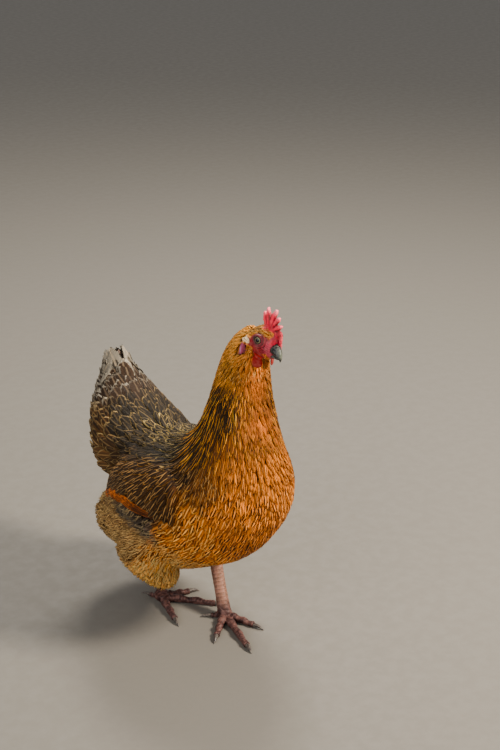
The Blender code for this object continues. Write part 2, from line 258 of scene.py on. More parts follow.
def joined(names, grow):
    """The named solids in one mesh."""
    return mesh_of(*merged([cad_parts[name].data for name in names], grow))


def with_modifiers(mesh, *steps):
    """The mesh after the modifiers, each a type and its settings."""
    obj = show("at_work", mesh)
    for kind, settings in steps:
        modifier = obj.modifiers.new(kind.lower(), kind)
        for key, value in settings.items():
            setattr(modifier, key, value)
    done = bpy.data.meshes.new_from_object(obj.evaluated_get(bpy.context.evaluated_depsgraph_get()))
    bpy.data.objects.remove(obj)
    return done


def cast_whole(mesh, grain, rounds):
    """One closed, smoothed surface round all the solids in a mesh."""
    return with_modifiers(mesh, ("REMESH", {"mode": "VOXEL", "voxel_size": grain}),
                          ("SMOOTH", {"factor": 0.5, "iterations": rounds}))


def union(first, *others):
    """One closed skin out of several that run into each other."""
    made = [show(f"other_{k}", other) for k, other in enumerate(others)]
    done = with_modifiers(first, *(("BOOLEAN", {"operation": "UNION", "object": obj, "solver": "MANIFOLD"})
                                   for obj in made))
    for obj in made:
        bpy.data.objects.remove(obj)
    return done


# --- the coat's form ------------------------------------------------------------------

class Surface:
    """A surface that gives the nearest places on it, their normals and their faces."""

    def __init__(self, co, faces):
        self.tree = BVHTree.FromPolygons(co.tolist(), faces)

    def near(self, points):
        found = [self.tree.find_nearest(p) for p in points.tolist()]
        return [np.array([f[i] for f in found]) for i in range(3)]


class Coat:
    """The coat's outer form and the fleshy solids under it, each made once."""
    form = solids = None


def coat_form():
    """The coat's outer form as one surface that knows whose each face is."""
    if Coat.form is None:
        grown = 0.7 * MM
        mesh = cast_whole(joined(BODY_NODES + ("head",), grown), 2.4 * MM, 2)
        co = points_of(mesh) - normals_of(mesh) * grown
        faces = [list(p.vertices) for p in mesh.polygons]
        Coat.form = Surface(co, faces)
        Coat.form.co, Coat.form.faces = co, np.array([f for f in faces if len(f) == 4])
        Coat.form.owner = owner_of(co[Coat.form.faces].mean(axis=1))
    return Coat.form


def owner_of(points):
    """The name of the fleshy solid that is nearest to each place."""
    if Coat.solids is None:
        names = BODY_NODES + HEAD_NODES
        meshes = [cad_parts[name].data for name in names]
        Coat.solids = Surface(*merged(meshes))
        Coat.solids.owner = np.repeat(names, [len(mesh.polygons) for mesh in meshes])
    return Coat.solids.owner[Coat.solids.near(points)[2]]


def nearness(points, spots, spread):
    """How much each spot counts at each place, the hen's two sides alike, and the side."""
    here = measure(points)
    side = np.where(here[:, 1] < 0, -1.0, 1.0)
    here[:, 1] = np.abs(here[:, 1])
    d2 = ((here[:, None, :] - spots[None]) ** 2).sum(axis=2)
    return np.exp(-(d2 - d2.min(axis=1, keepdims=True)) / (2 * spread ** 2)), side


def lie_at(points):
    """The way the coat points at each place, as a smooth blend of the places above."""
    spots, ways = (np.array(part, float) for part in zip(*LIE))
    weight, side = nearness(points, spots, LIE_REACH)
    way = weight @ unit(ways)
    way[:, 1] *= side
    return unit(np.stack([way[:, 1], -way[:, 0], way[:, 2]], axis=1))


def scatter(on, gap, rng):
    """Many places over the named parts of the coat, and each place's part."""
    form = coat_form()
    faces = form.faces[np.isin(form.owner, on)]
    owner = form.owner[np.isin(form.owner, on)]
    a, b, c, d = (form.co[faces[:, i]] for i in range(4))
    area = np.linalg.norm(np.cross(c - a, d - b), axis=1) / 2
    count = int(7 * area.sum() / (gap * MM) ** 2) + 200
    pick = rng.choice(len(area), size=count, p=area / area.sum())
    u, v = rng.random((2, count, 1))
    top = a[pick] * (1 - u) + b[pick] * u
    low = d[pick] * (1 - u) + c[pick] * u
    return top * (1 - v) + low * v, owner[pick]


def thin_out(points, gap):
    """Indices of points that keep at least their own gap from each other."""
    kept, grid = [], {}
    spots, limits = points.tolist(), (gap ** 2).tolist()
    around = list(itertools.product((-1, 0, 1), repeat=3))
    for i, (x, y, z) in enumerate(np.floor(points / gap.max()).astype(int).tolist()):
        px, py, pz = spots[i]
        others = (q for dx, dy, dz in around for q in grid.get((x + dx, y + dy, z + dz), ()))
        if all((q[0] - px) ** 2 + (q[1] - py) ** 2 + (q[2] - pz) ** 2 >= limits[i] for q in others):
            grid.setdefault((x, y, z), []).append(spots[i])
            kept.append(i)
    return np.array(kept, int)


# --- feathers -------------------------------------------------------------------------

# Each cut gives the rows from root to tip, the half width at each row against the
# widest, and how many vanes' widths the tip's edges are swept back.
CUTS = {
    "pointed": ((0, .18, .4, .6, .78, .9, 1), (.35, .8, 1, .92, .66, .38, .06), 0.15),
    "round": ((0, .2, .45, .65, .82, .93, 1), (.3, .72, .95, 1, .9, .68, .3), 0.10),
    "leaf": ((0, .2, .45, .65, .8, .92, 1), (.35, .8, 1, .94, .74, .46, .14), 0.12),
    "blade": ((0, .15, .35, .6, .82, .94, 1), (.4, .8, .95, 1, .95, .75, .35), 0.12),
    "soft": ((0, .25, .5, .72, .88, 1), (.35, .8, 1, .88, .6, .2), 0.05),
    "small": ((0, .35, .7, 1), (.45, 1, .8, .15), 0.1),
    "barb": ((0, .25, .5, .75, 1), (.6, 1, .9, .6, .1), 0.0),
}


# How near the coat's form a feather still clings to it, and how far a vane is bowed.
CLINGING, BOWED = 6 * MM, 0.22


class Feathers:
    """Arrays that describe a group of feathers, one entry to a feather."""

    def __init__(self, root, length, width, depth, tip):
        self.root = root
        self.length, self.width, self.depth, self.tip = (
            np.broadcast_to(value, len(root)).astype(float) for value in (length, width, depth, tip))
        self.way = self.ground = self.edge = self.dark = self.marks = self.tone = None


def lay(feathers, cut, cling, rng, ragged=0.03, wander=0.12, across=4, thick=0.22 * MM, free=1.0,
        curl=0.15):
    """Lay each feather along the coat's form and give its mesh arrays."""
    rows, wide, sweep = CUTS[cut]
    rows, wide = np.array(rows), np.array(wide)
    form = coat_form()
    n, r, c = len(feathers.root), len(rows), across + 1
    spot, normal, _ = form.near(feathers.root)
    way = lie_at(spot) if feathers.way is None else feathers.way
    turn = rng.normal(0, wander, (n, 1))
    way = unit(way - normal * (way * normal).sum(1, keepdims=True))
    way = unit(way * np.cos(turn) + np.cross(normal, way) * np.sin(turn))
    line, norms, bend = [spot], [normal], rng.normal(0, curl, (n, 1))
    for step, row in zip(np.diff(rows), rows[1:]):
        ahead = line[-1] + way * (step * feathers.length)[:, None]
        near, normal, _ = form.near(ahead)
        hold = cling if row <= free else 0.0
        far = np.linalg.norm(near - ahead, axis=1, keepdims=True)
        grip = hold * np.exp(-(far / CLINGING) ** 2)
        line.append(ahead + (near - ahead) * np.maximum(grip, hold * 0.35))
        norms.append(unit(norms[-1] * 0.45 + normal * 0.55))
        flow = lie_at(line[-1]) if feathers.way is None else way
        way = unit(way * 0.6 + flow * 0.4 + np.cross(norms[-1], way) * (bend * step))
        way = unit(way - norms[-1] * (way * norms[-1]).sum(1, keepdims=True) * hold)
    line, norms = np.stack(line, 1), np.stack(norms, 1)
    along = unit(np.gradient(line, axis=1))
    side = unit(np.cross(norms, along))
    up = unit(np.cross(along, side))
    height = -(feathers.depth[:, None] * (1 - rows) ** 1.4) - feathers.tip[:, None]
    height += rng.normal(0, 0.15 * MM, (n, 1)) * rows
    line = line + up * height[:, :, None]
    u = np.linspace(-1, 1, c)
    half = (feathers.width[:, None] * 0.5 * wide * (1 + rng.normal(0, 0.06, (n, r))))[:, :, None]
    back = rng.normal(0, ragged, (n, r, c)) * feathers.length[:, None, None]
    back = (back - sweep * feathers.width[:, None, None] * u ** 2) * rows[:, None] ** 2
    bow = (1 - u ** 2) * half * BOWED
    line, side, along, up = (part[:, :, None, :] for part in (line, side, along, up))
    base = line + side * (half * u)[..., None] + along * back[..., None]
    upper = base + up * (bow + thick * (1 - u ** 4))[..., None]
    lower = base + up * (bow - thick * 0.4)[..., None]
    # The two faces share the rim, so that a vane is closed.
    inner = np.zeros((r, c), bool)
    inner[1:-1, 1:-1] = True
    above = np.arange(r * c).reshape(r, c)
    below = above.copy()
    below[inner] = r * c + np.arange(inner.sum())
    quads = [np.stack([k[:-1, :-1], k[:-1, 1:], k[1:, 1:], k[1:, :-1]], axis=2).reshape(-1, 4)
             for k in (above, below)]
    quads = np.stack([quads[0], quads[1][:, ::-1]], axis=1).reshape(-1, 4)
    co = np.concatenate([upper.reshape(n, r * c, 3), lower[:, inner]], axis=1)
    uv = np.stack(np.broadcast_arrays((u + 1) / 2, rows[:, None]), axis=2)
    uv = np.concatenate([uv.reshape(-1, 2), uv[inner]])
    return co, quads + (np.arange(n) * co.shape[1])[:, None, None], uv


def spine_map(points):
    """Two numbers for each place: round the hen, and along it from head to tail."""
    p = measure(points)
    middle = np.interp(p[:, 2], (60, 200, 260, 380), (-20, 40, 90, 115))
    angle = np.arctan2(p[:, 1], p[:, 0] - middle)
    along = np.clip((p[:, 2] * 0.75 + p[:, 0] * 0.45 + 60) / 430, 0, 1)
    return np.stack([angle / (2 * math.pi) + 0.5, along], axis=1)


def held_in(co):
    """The points, with those that would leave the solid's box drawn back behind its faces."""
    low, high = (np.array(corner) for corner in SOLID_BOX)
    over = np.maximum(co - (high - HELD), 0)
    under = np.maximum((low + HELD) - co, 0)
    under[:, 2] = 0
    return co - over + HELD * np.tanh(over / HELD) + under - HELD * np.tanh(under / HELD)


def feather_piece(name, feathers, cut, finish, slot, rng, **shape):
    """One piece of a whole group of feathers, as a joined mesh."""
    co, faces, uv = lay(feathers, cut, rng=rng, **shape)
    per = co.shape[1]
    mesh = new_mesh(name, held_in(co.reshape(-1, 3)), faces.reshape(-1, 4))
    smooth_shaded(mesh)
    which, local = np.divmod(faces.ravel(), per)
    vane = mesh.uv_layers.new(name="Vane")
    vane.data.foreach_set("uv", uv[local].astype(np.float32).ravel())
    patch = 0.01 + 0.98 * spine_map(feathers.root)[which] + (uv[local] - 0.5) * PATCH
    baked = mesh.uv_layers.new(name="OFBake")
    baked.data.foreach_set("uv", patch.astype(np.float32).ravel())
    mesh.uv_layers.active = mesh.uv_layers["Vane"]
    for key in ("ground", "edge", "dark", "marks", "tone"):
        store(mesh, key, np.repeat(getattr(feathers, key), per, axis=0))
    obj = show(name, mesh, finish)
    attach(obj, "root")
    return obj


# --- finishes -------------------------------------------------------------------------

class Value:
    """A number or colour inside a finish, which can be reckoned with."""

    def __init__(self, nodes, socket):
        self.nodes, self.socket = nodes, socket

    def __add__(self, other):
        return self.nodes.math("ADD", self, other)

    def __sub__(self, other):
        return self.nodes.math("SUBTRACT", self, other)

    def __rsub__(self, other):
        return self.nodes.math("SUBTRACT", other, self)

    def __mul__(self, other):
        return self.nodes.math("MULTIPLY", self, other)

    def __pow__(self, other):
        return self.nodes.math("POWER", self, other)


class Nodes:
    """Short hand for making a finish out of nodes."""

    def __init__(self, name):
        self.finish = bpy.data.materials.new(name)
        self.finish.use_nodes = True
        self.tree = self.finish.node_tree
        self.shader = self.tree.nodes["Principled BSDF"]

    def add(self, kind, settings=None, **inputs):
        """A new node's outputs by number; an input's number follows an underscore."""
        node = self.tree.nodes.new("ShaderNode" + kind)
        for key, value in (settings or {}).items():
            setattr(node, key, value)
        for key, value in inputs.items():
            self.put(node.inputs[int(key[1:]) if key[0] == "_" else key], value)
        return [Value(self, socket) for socket in node.outputs]

    def put(self, socket, value):
        if isinstance(value, Value):
            self.tree.links.new(value.socket, socket)
        else:
            socket.default_value = value

    def math(self, what, a, b=0.0):
        return self.add("Math", {"operation": what}, _0=a, _1=b)[0]

    def ramp(self, value, low, high, to_low=0.0, to_high=1.0):
        return self.add("MapRange", {"interpolation_type": "SMOOTHSTEP"},
                        _0=value, _1=low, _2=high, _3=to_low, _4=to_high)[0]

    def mix(self, factor, a, b, blend_type="MIX"):
        return self.add("Mix", {"data_type": "RGBA", "blend_type": blend_type}, _0=factor, _6=a, _7=b)[2]

    def noise(self, vector, scale, detail=3.0, rough=0.6, distortion=0.0):
        return self.add("TexNoise", None, Vector=vector, Scale=scale, Detail=detail,
                        Roughness=rough, Distortion=distortion)[0]

    def attribute(self, name):
        """What the mesh holds under a name: colour, vector, number and alpha."""
        return self.add("Attribute", {"attribute_name": name})

    def where(self):
        return self.add("TexCoord")[3]

    def set(self, **inputs):
        for key, value in inputs.items():
            self.put(self.shader.inputs[key.replace("_", " ")], value)

    def bump(self, height, strength, distance):
        self.set(Normal=self.add("Bump", None, Height=height, Strength=strength, Distance=distance)[0])


def rgb(colour):
    return (colour[0], colour[1], colour[2], 1.0)


def feather_finish(name, tip=1.0, web_end=0.88):
    """Vanes with a ground, a laced rim, a pale shaft, dark webs beside it and fine barbs."""
    m = Nodes(name)
    u, v, _ = m.add("SeparateXYZ", None, _0=m.add("UVMap", {"uv_map": "Vane"})[0])
    ground, edge, dark = (m.attribute(key)[0] for key in ("ground", "edge", "dark"))
    tone, marks = m.attribute("tone")[2], m.attribute("marks")
    lace_share, shaft_share, web_share = m.add("SeparateColor", None, _0=marks[0])
    across = m.math("ABSOLUTE", u - 0.5) * 2.0
    out = m.math("MAXIMUM", (v - 0.38) * (tip / 0.62))
    seed = m.add("CombineXYZ", None, _0=u * 1.3, _1=v * 2.6, _2=tone * 37.0)[0]
    cloud = m.noise(seed, 3.4) - 0.5
    fibre = m.add("CombineXYZ", None, _0=v * 9.0 + across * -2.6, _1=u * 1.2, _2=tone * 53.0)[0]
    fibres = m.noise(fibre, 5.0, rough=0.7) - 0.5
    torn = cloud * 0.30 + fibres * 0.26
    rim = (across ** 2.8 + out ** 2.8) ** 0.357 + torn
    lace = m.ramp(rim - (0.93 - marks[3] * 0.5), -0.05, 0.06)
    web = across + torn * 1.1
    webs = m.ramp(web, 0.07, 0.18) * (1.0 - m.ramp(web - (v * 0.42 + 0.20), -0.10, 0.10))
    near = m.ramp(v, 0.25, 0.42) * (1.0 - m.ramp(v, web_end, web_end + 0.12))
    shaft = (1.0 - m.ramp(across, 0.06, 0.15)) * (m.ramp(v, 0.22, 0.4) * m.ramp(v, 1.0, 0.93))
    colour = m.mix(m.ramp(fibres, -0.16, 0.2, 0.0, 0.5), ground, m.mix(0.5, ground, dark))
    colour = m.mix(webs * (near * web_share), colour, dark)
    colour = m.mix(lace * lace_share, colour, edge)
    colour = m.mix(shaft * shaft_share, colour, m.mix(0.2, edge, rgb((0.95, 0.58, 0.22))))
    dim = m.ramp(v, 0.0, 0.4, 0.45, 1.0) * m.ramp(tone, 0.0, 1.0, 0.74, 1.18) * (fibres * 0.55 + 1.0)
    colour = m.mix(1.0, colour, m.add("CombineColor", None, _0=dim, _1=dim, _2=dim)[0], "MULTIPLY")
    barb = m.math("SINE", v * 170.0 + across * -42.0)
    m.set(Base_Color=colour, Roughness=m.ramp(cloud, -0.2, 0.2, 0.52, 0.70), Specular_IOR_Level=0.10)
    m.bump(barb * 0.25 + shaft * 0.8 + fibres * 2.2, 0.6, 0.0005)
    return m.finish


def skin_finish():
    """Bare skin that is red on the face, scaled on the legs and plain under the coat."""
    m = Nodes("bare_skin")
    hue, where = m.attribute("hue")[0], m.where()
    grain, cloud = m.noise(where, 900.0), m.noise(where, 160.0, rough=0.55)
    pores = m.add("TexVoronoi", None, Vector=where, Scale=1400.0)[0]
    colour = m.mix(m.ramp(cloud, 0.35, 0.7, 0.0, 0.30), hue, m.mix(0.35, hue, rgb((0.9, 0.40, 0.30))))
    colour = m.mix(m.ramp(grain, 0.5, 0.75, 0.0, 0.3), colour, m.mix(0.6, hue, rgb((0.08, 0.01, 0.01))))
    m.set(Base_Color=colour, Roughness=m.ramp(grain, 0.3, 0.7, 0.38, 0.58), Subsurface_Weight=0.04,
          Subsurface_Scale=0.003, Subsurface_Radius=(1.0, 0.3, 0.15), Specular_IOR_Level=0.11)
    m.bump(grain + pores * 0.7, 0.35, 0.0004)
    return m.finish


def horn_finish(name, rough):
    """Horn in its own hue, streaked along its growth lines."""
    m = Nodes(name)
    hue, streak = m.attribute("hue")[0], m.noise(m.where(), 420.0, 4.0, 0.6, 0.3)
    colour = m.mix(m.ramp(streak, 0.38, 0.7, 0.0, 0.6), hue, m.mix(0.5, hue, rgb((0.34, 0.30, 0.22))))
    colour = m.mix(m.ramp(streak, 0.55, 0.3, 0.0, 0.5), colour, m.mix(0.7, hue, rgb((0.02, 0.02, 0.02))))
    m.set(Base_Color=colour, Roughness=m.ramp(streak, 0.3, 0.7, rough, rough + 0.14), Specular_IOR_Level=0.3)
    m.bump(streak, 0.25, 0.0003)
    return m.finish


def eye_finish(side):
    """Dark pupil, pale iris and a dark ring, by the distance from the eye's axis."""
    m = Nodes("eye_" + side)
    out, rays = m.attribute("ring")[2], m.noise(m.where(), 1500.0)
    iris = m.mix(m.ramp(rays, 0.35, 0.65), rgb((0.10, 0.08, 0.030)), rgb((0.30, 0.27, 0.14)))
    colour = m.mix(m.ramp(out, 0.43, 0.47), rgb((0.004, 0.004, 0.005)), iris)
    colour = m.mix(m.ramp(out, 0.60, 0.68), colour, rgb((0.03, 0.012, 0.010)))
    m.set(Base_Color=colour, Roughness=m.ramp(rays, 0.3, 0.7, 0.05, 0.09), Specular_IOR_Level=0.2,
          Coat_Weight=0.06, Coat_Roughness=0.03)
    return m.finish


# --- what a user may change -----------------------------------------------------------

def colour_of(name, description, value):
    return FloatVectorProperty(name=name, description=description, default=value, subtype="COLOR",
                               size=3, min=0.0, max=1.0)


def length_of(name, description, value):
    return FloatProperty(name=name, description=description, default=value, unit="LENGTH", min=0.0,
                         precision=4)


class HEN_PG_colours(bpy.types.PropertyGroup):
    crown: colour_of("Crown", "Crown and upper neck", (1.0, 0.36, 0.030))
    throat: colour_of("Throat", "Throat and the front of the neck", (0.70, 0.165, 0.006))
    hackle: colour_of("Hackle centre", "Middles of the neck feathers", (0.012, 0.006, 0.002))
    gold: colour_of("Gold", "Edges of the neck feathers", (0.60, 0.215, 0.014))
    breast: colour_of("Breast", "Ground of the breast", (0.72, 0.190, 0.003))
    dark: colour_of("Dark web", "Dark marks of the wings, back and neck", (0.010, 0.006, 0.003))
    brown: colour_of("Brown web", "Brown marks of the breast, belly and thighs", (0.045, 0.010, 0.001))
    covert: colour_of("Covert", "Middles of the wing feathers", (0.045, 0.018, 0.004))
    straw: colour_of("Straw", "Edges of the wing feathers", (0.46, 0.19, 0.026))
    cream: colour_of("Cream", "Edges of the back feathers", (0.27, 0.168, 0.058))
    stripe: colour_of("Wing stripe", "Open edge of the folded wing", (0.50, 0.105, 0.002))
    saddle: colour_of("Saddle", "Middles of the saddle feathers", (0.016, 0.011, 0.006))
    tail: colour_of("Tail", "Tail feathers", (0.034, 0.017, 0.008))
    ash: colour_of("Ash", "Pale edges of the tail", (0.25, 0.205, 0.145))
    fluff: colour_of("Fluff", "Soft feathers under the tail", (0.44, 0.235, 0.065))
    smoke: colour_of("Smoke", "Grey patch behind the wing", (0.085, 0.062, 0.045))
    thigh: colour_of("Thigh", "Thighs and belly", (0.95, 0.32, 0.040))
    comb: colour_of("Comb", "Comb", (0.46, 0.002, 0.022))
    # The comb's pale points are a painted highlight.
    comb_tip_highlight: colour_of("Comb edge", "Pale edge of the comb's points", (0.85, 0.17, 0.20))
    wattle: colour_of("Wattle", "Wattles", (0.20, 0.0, 0.0))
    face: colour_of("Face", "Bare skin of the face", (0.155, 0.003, 0.006))
    ring: colour_of("Eye ring", "Skin round the eye", (0.11, 0.004, 0.012))
    lobe: colour_of("Ear lobe", "Ear lobe", (0.26, 0.022, 0.080))
    ear_spot: colour_of("Ear spot", "Pale spot over the ear lobe", (0.74, 0.50, 0.25))
    # This dark horn also serves as the painted shade of the nostril slit and of the mouth line.
    bill: colour_of("Bill", "Dark horn at the root of the bill", (0.005, 0.005, 0.006))
    bill_edge: colour_of("Bill edge", "Pale horn of the bill", (0.10, 0.112, 0.075))
    leg: colour_of("Leg", "Scales of the legs", (0.15, 0.070, 0.042))
    toe: colour_of("Toe", "Scales of the toes", (0.024, 0.010, 0.009))
    claw: colour_of("Claw", "Claws", (0.040, 0.026, 0.022))


class HEN_PG_sizes(bpy.types.PropertyGroup):
    skin_grain: length_of("Skin grain", "Width of the skin's faces under the coat", 0.003)
    head_grain: length_of("Head grain", "Width of the skin's faces on the head", 0.0006)
    leg_grain: length_of("Leg grain", "Width of the skin's faces on the legs", 0.0009)
    hackle: length_of("Hackle length", "Longest neck feather", 0.036)
    breast: length_of("Breast feather", "Length of a breast feather", 0.019)
    covert: length_of("Covert length", "Length of a wing covert", 0.024)
    saddle: length_of("Saddle feather", "Length of a saddle feather", 0.032)
    fluff: length_of("Fluff length", "Length of the soft feathers", 0.026)
    fullness: FloatProperty(name="Fullness", description="How close the feathers stand, where 1 is as modelled",
                            default=1.0, min=0.5, max=1.5, subtype="FACTOR")
    seed: IntProperty(name="Seed", description="Number that settles how the feathers are strewn",
                      default=7, min=0)


class HEN_PG_stage(bpy.types.PropertyGroup):
    camera: FloatVectorProperty(name="Camera", description="Where the camera stands", unit="LENGTH",
                                subtype="TRANSLATION", size=3, default=(-0.9141, -1.29986, 0.93163))
    aim: FloatVectorProperty(name="Aim", description="The place that the camera looks at", unit="LENGTH",
                             subtype="TRANSLATION", size=3, default=(0.21393, 0.16881, 0.17627))
    roll: FloatProperty(name="Roll", description="How far the camera leans to its side", unit="ROTATION",
                        default=math.radians(0.96))
    lens: FloatProperty(name="Lens", description="The camera's focal length in millimetres", default=75.645,
                        min=10.0)
    floor: length_of("Floor", "Width of the floor", 24.0)
    floor_colour: colour_of("Floor colour", "Warm grey floor", (0.135, 0.118, 0.094))
    key: FloatProperty(name="Key light", description="Power of the main light in watts", default=98.0, min=0.0)
    fill: FloatProperty(name="Fill light", description="Power of the fill light in watts", default=30.0, min=0.0)
    sky: FloatProperty(name="Sky", description="Strength of the even light from all round", default=0.6, min=0.0)


# --- markings -------------------------------------------------------------------------

def plumage():
    """Each kind of marking: ground, edge, dark web, then its lace, shaft, web and lace width."""
    c = bpy.context.scene.hen_colours

    def col(value, strength=1.0):
        return np.array(value[:]) * strength

    dark, brown = col(c.dark), col(c.brown)
    return {
        "crown": (col(c.crown), col(c.crown, 1.1), brown, (0.5, 0.1, 0.25, 0.35)),
        "cheek": (np.array((0.92, 0.28, 0.04)), col(c.crown, 1.2), brown, (0.4, 0.1, 0.15, 0.3)),
        # The chin is a brighter copy of the throat, painted light in the shade under the bill and between the
        # wattles.
        "chin": (col(c.throat, 1.42), np.array((1.0, 0.34, 0.03)), col(c.throat, 0.7), (0.6, 0.1, 0.0, 0.3)),
        "throat": (col(c.throat), col(c.throat, 1.35), brown, (0.6, 0.1, 0.6, 0.4)),
        "nape": (col(c.crown, 0.6), col(c.gold, 1.65), dark, (0.9, 0.0, 1.0, 0.6)),
        "hackle": (col(c.hackle, 1.5), col(c.gold, 1.8), dark, (1.0, 0.0, 1.0, 0.5)),
        # The front of the neck's darker ground is partly its own colour and partly painted shade where the neck
        # turns from the light.
        "front": (col(c.throat, 0.6), col(c.gold, 1.0), dark, (0.7, 0.2, 0.9, 0.7)),
        "breast": (col(c.breast), col(c.breast, 1.25), brown, (0.6, 0.75, 1.0, 0.12)),
        "shoulder": (col(c.breast, 0.45), col(c.straw, 1.2), dark, (0.7, 0.6, 0.95, 0.15)),
        "under": (col(c.breast, 1.05), np.array((0.98, 0.40, 0.05)), brown, (0.7, 0.8, 0.85, 0.12)),
        "covert": (col(c.covert), col(c.straw), dark, (0.6, 0.5, 0.9, 0.08)),
        "saddle": (col(c.saddle), col(c.cream), dark, (0.7, 0.1, 0.5, 0.03)),
        "gilt": (col(c.saddle), np.array((0.66, 0.44, 0.14)), dark, (1.0, 0.2, 0.5, 0.10)),
        "rust": (col(c.covert, 1.7), col(c.cream, 1.1), dark, (0.75, 0.2, 0.6, 0.08)),
        "tail": (col(c.tail), col(c.ash, 0.8), dark, (0.75, 0.15, 0.5, 0.14)),
        "tail_end": (col(c.ash, 0.75), col(c.ash, 1.25), col(c.tail), (0.8, 0.4, 0.4, 0.3)),
        "fluff": (col(c.fluff, 0.7), col(c.fluff, 1.4), brown, (0.5, 0.5, 0.8, 0.15)),
        "smoke": (col(c.smoke), col(c.smoke, 1.4), dark, (0.4, 0.0, 0.5, 0.3)),
        "thigh": (col(c.thigh, 1.2), np.array((1.0, 0.55, 0.13)), brown, (0.8, 0.8, 0.2, 0.3)),
    }


# Where each marking is at its purest: forward, to the side, up, in millimetres.
MARKED = {
    "crown": ((112, 0, 378), (95, 8, 362), (90, 15, 345)),
    "cheek": ((112, 22, 345),),
    # The chin's brighter copy of the throat, painted light under the bill.
    "chin": ((138, 4, 342), (132, 8, 333)),
    "throat": ((134, 2, 305), (138, 3, 278)),
    "nape": ((92, 18, 334), (84, 0, 340), (98, 24, 322)),
    "front": ((124, 20, 318), (128, 12, 290), (132, 20, 262), (142, 18, 250), (118, 44, 244)),
    "hackle": ((75, 0, 300), (92, 30, 292), (113, 28, 290), (122, 19, 292), (98, 38, 265), (116, 34, 268),
               (60, 20, 268), (84, 46, 248), (100, 46, 242), (74, 52, 234), (40, 25, 245)),
    "breast": ((146, 20, 225), (132, 40, 222), (148, 15, 190), (130, 46, 185), (130, 20, 135)),
    "shoulder": ((118, 52, 214), (94, 70, 190)),
    "under": ((98, 66, 165), (86, 64, 137), (82, 42, 104), (60, 20, 84), (60, 72, 128), (34, 64, 96),
              (-60, 20, 70)),
    "covert": ((82, 66, 212), (67, 77, 200), (30, 88, 188), (0, 86, 184), (-34, 78, 172), (74, 82, 175),
               (30, 93, 163)),
    "saddle": ((0, 50, 205), (-50, 25, 205), (-80, 30, 212), (-62, 50, 195)),
    "gilt": ((25, 14, 222), (45, 45, 224), (-15, 4, 211), (-45, 4, 208), (10, 35, 216)),
    "rust": ((5, 92, 168), (52, 88, 155), (-25, 86, 160), (-55, 72, 150), (-70, 58, 178), (-112, 36, 190),
             (-100, 34, 165)),
    "tail": ((-122, 14, 240), (-132, 10, 250), (-150, 12, 248), (-122, 22, 215)),
    "tail_end": ((-148, 8, 276),),
    "smoke": ((14, 86, 138), (32, 82, 129), (20, 84, 130)),
    "fluff": ((-26, 84, 134), (-110, 15, 140), (-95, 35, 140), (-45, 80, 125), (-17, 73, 104), (-66, 69, 98),
              (10, 79, 112), (-99, 50, 106)),
    "thigh": ((24, 52, 74), (6, 40, 50), (-20, 45, 55)),
}


def marking_at(points):
    """Ground, edge, dark and marks of the coat at each place."""
    kinds = plumage()
    marked = [(kinds[kind], spot) for kind, spots in MARKED.items() for spot in spots]
    weight, _ = nearness(points, np.array([spot for _, spot in marked], float), MARKED_REACH)
    weight /= weight.sum(axis=1, keepdims=True)
    return [weight @ np.array([looks[i] for looks, _ in marked]) for i in range(4)]


def dress(feathers, rng, spread=0.10):
    """Give each feather the markings of its place, a little different from its neighbours'."""
    n = len(feathers.root)
    seen = feathers.root + lie_at(feathers.root) * feathers.length[:, None] * 0.6
    feathers.ground, feathers.edge, feathers.dark, feathers.marks = marking_at(seen)
    for key, much, shape in (("ground", spread, (n, 1)), ("edge", spread, (n, 1)), ("marks", 0.32, (n, 4))):
        varied = getattr(feathers, key) * (1 + rng.normal(0, much, shape))
        setattr(feathers, key, np.clip(varied, 0, 1))
    feathers.tone = rng.random(n)


# --- head -----------------------------------------------------------------------------

HEAD_PLACE = (125.8, 8.5, 361.5)
HEAD_DOWN = math.radians(8)
HEAD_ASIDE = math.radians(9)
# Places in the head's own axes: forward, outward and up from the skull's middle.
EYE_SPOT = (4.8, 10.5, 4.2)
EYE_AXIS = (0.45, 0.88, 0.12)
EAR_SPOT = (-13.0, 17.6, -3.0)
LOBE = (-15.0, 18.6, -15.8)
WATTLE = (2.5, 8.5, -22.5)
# The middle of the comb's foot, forward and up, from which its points fan out.
COMB_FOOT = (6, 12)


def head_axes():
    """The head's forward, left and up, each as forward, left, up in the hen's axes."""
    (cd, sd), (ca, sa) = ((math.cos(a), math.sin(a)) for a in (HEAD_DOWN, HEAD_ASIDE))
    return np.array(((cd * ca, -cd * sa, -sd), (sa, ca, 0), (sd * ca, -sd * sa, cd)))


def in_head(points):
    """Places in the frame, as forward, outward and up from the skull's middle, in millimetres."""
    h = (measure(points) - np.array(HEAD_PLACE)) @ head_axes().T
    h[:, 1] = np.abs(h[:, 1])
    return h


def from_head(points):
    """Forward, left and up from the skull's middle, in millimetres, as places in the frame."""
    return place(np.atleast_2d(points) @ head_axes() + np.array(HEAD_PLACE))


def head_turned(vectors):
    """Directions in the head's own axes, as directions in the frame."""
    return unit(from_head(vectors) - from_head((0, 0, 0)))


def bare_share(points):
    """1 on the bare face, 0 where the head is feathered."""
    h = in_head(points)
    side = h[:, ::2]
    round_eye = fade(oval(side, (7, 0.5), (14.0, 11.0)), 0.86, 1.0)
    behind = fade(oval(side, (-7, -3), (7.5, 4.5)), 0.8, 1.0)
    below = fade(oval(side, (5, -13), (8.5, 7.5)), 0.8, 1.0) * ease(h[:, 1], 5, 7)
    front = ease(h[:, 0], 14, 17) * fade(np.abs(h[:, 2]), 14, 16)
    return np.maximum(np.maximum.reduce([round_eye, behind, below]) * ease(h[:, 1], 3, 6), front)


def off_lobe(points, grown=1.0):
    """1 away from the ear lobe and the pale spot over it, 0 on them."""
    h = in_head(points)
    return np.minimum(*(ease(oval(h, spot, np.array(reach) * grown), 0.85, 1.05)
                        for spot, reach in ((EAR_SPOT, (9.4, 8.0, 5.4)), (LOBE, (4.0, 6.0, 9.8)))))


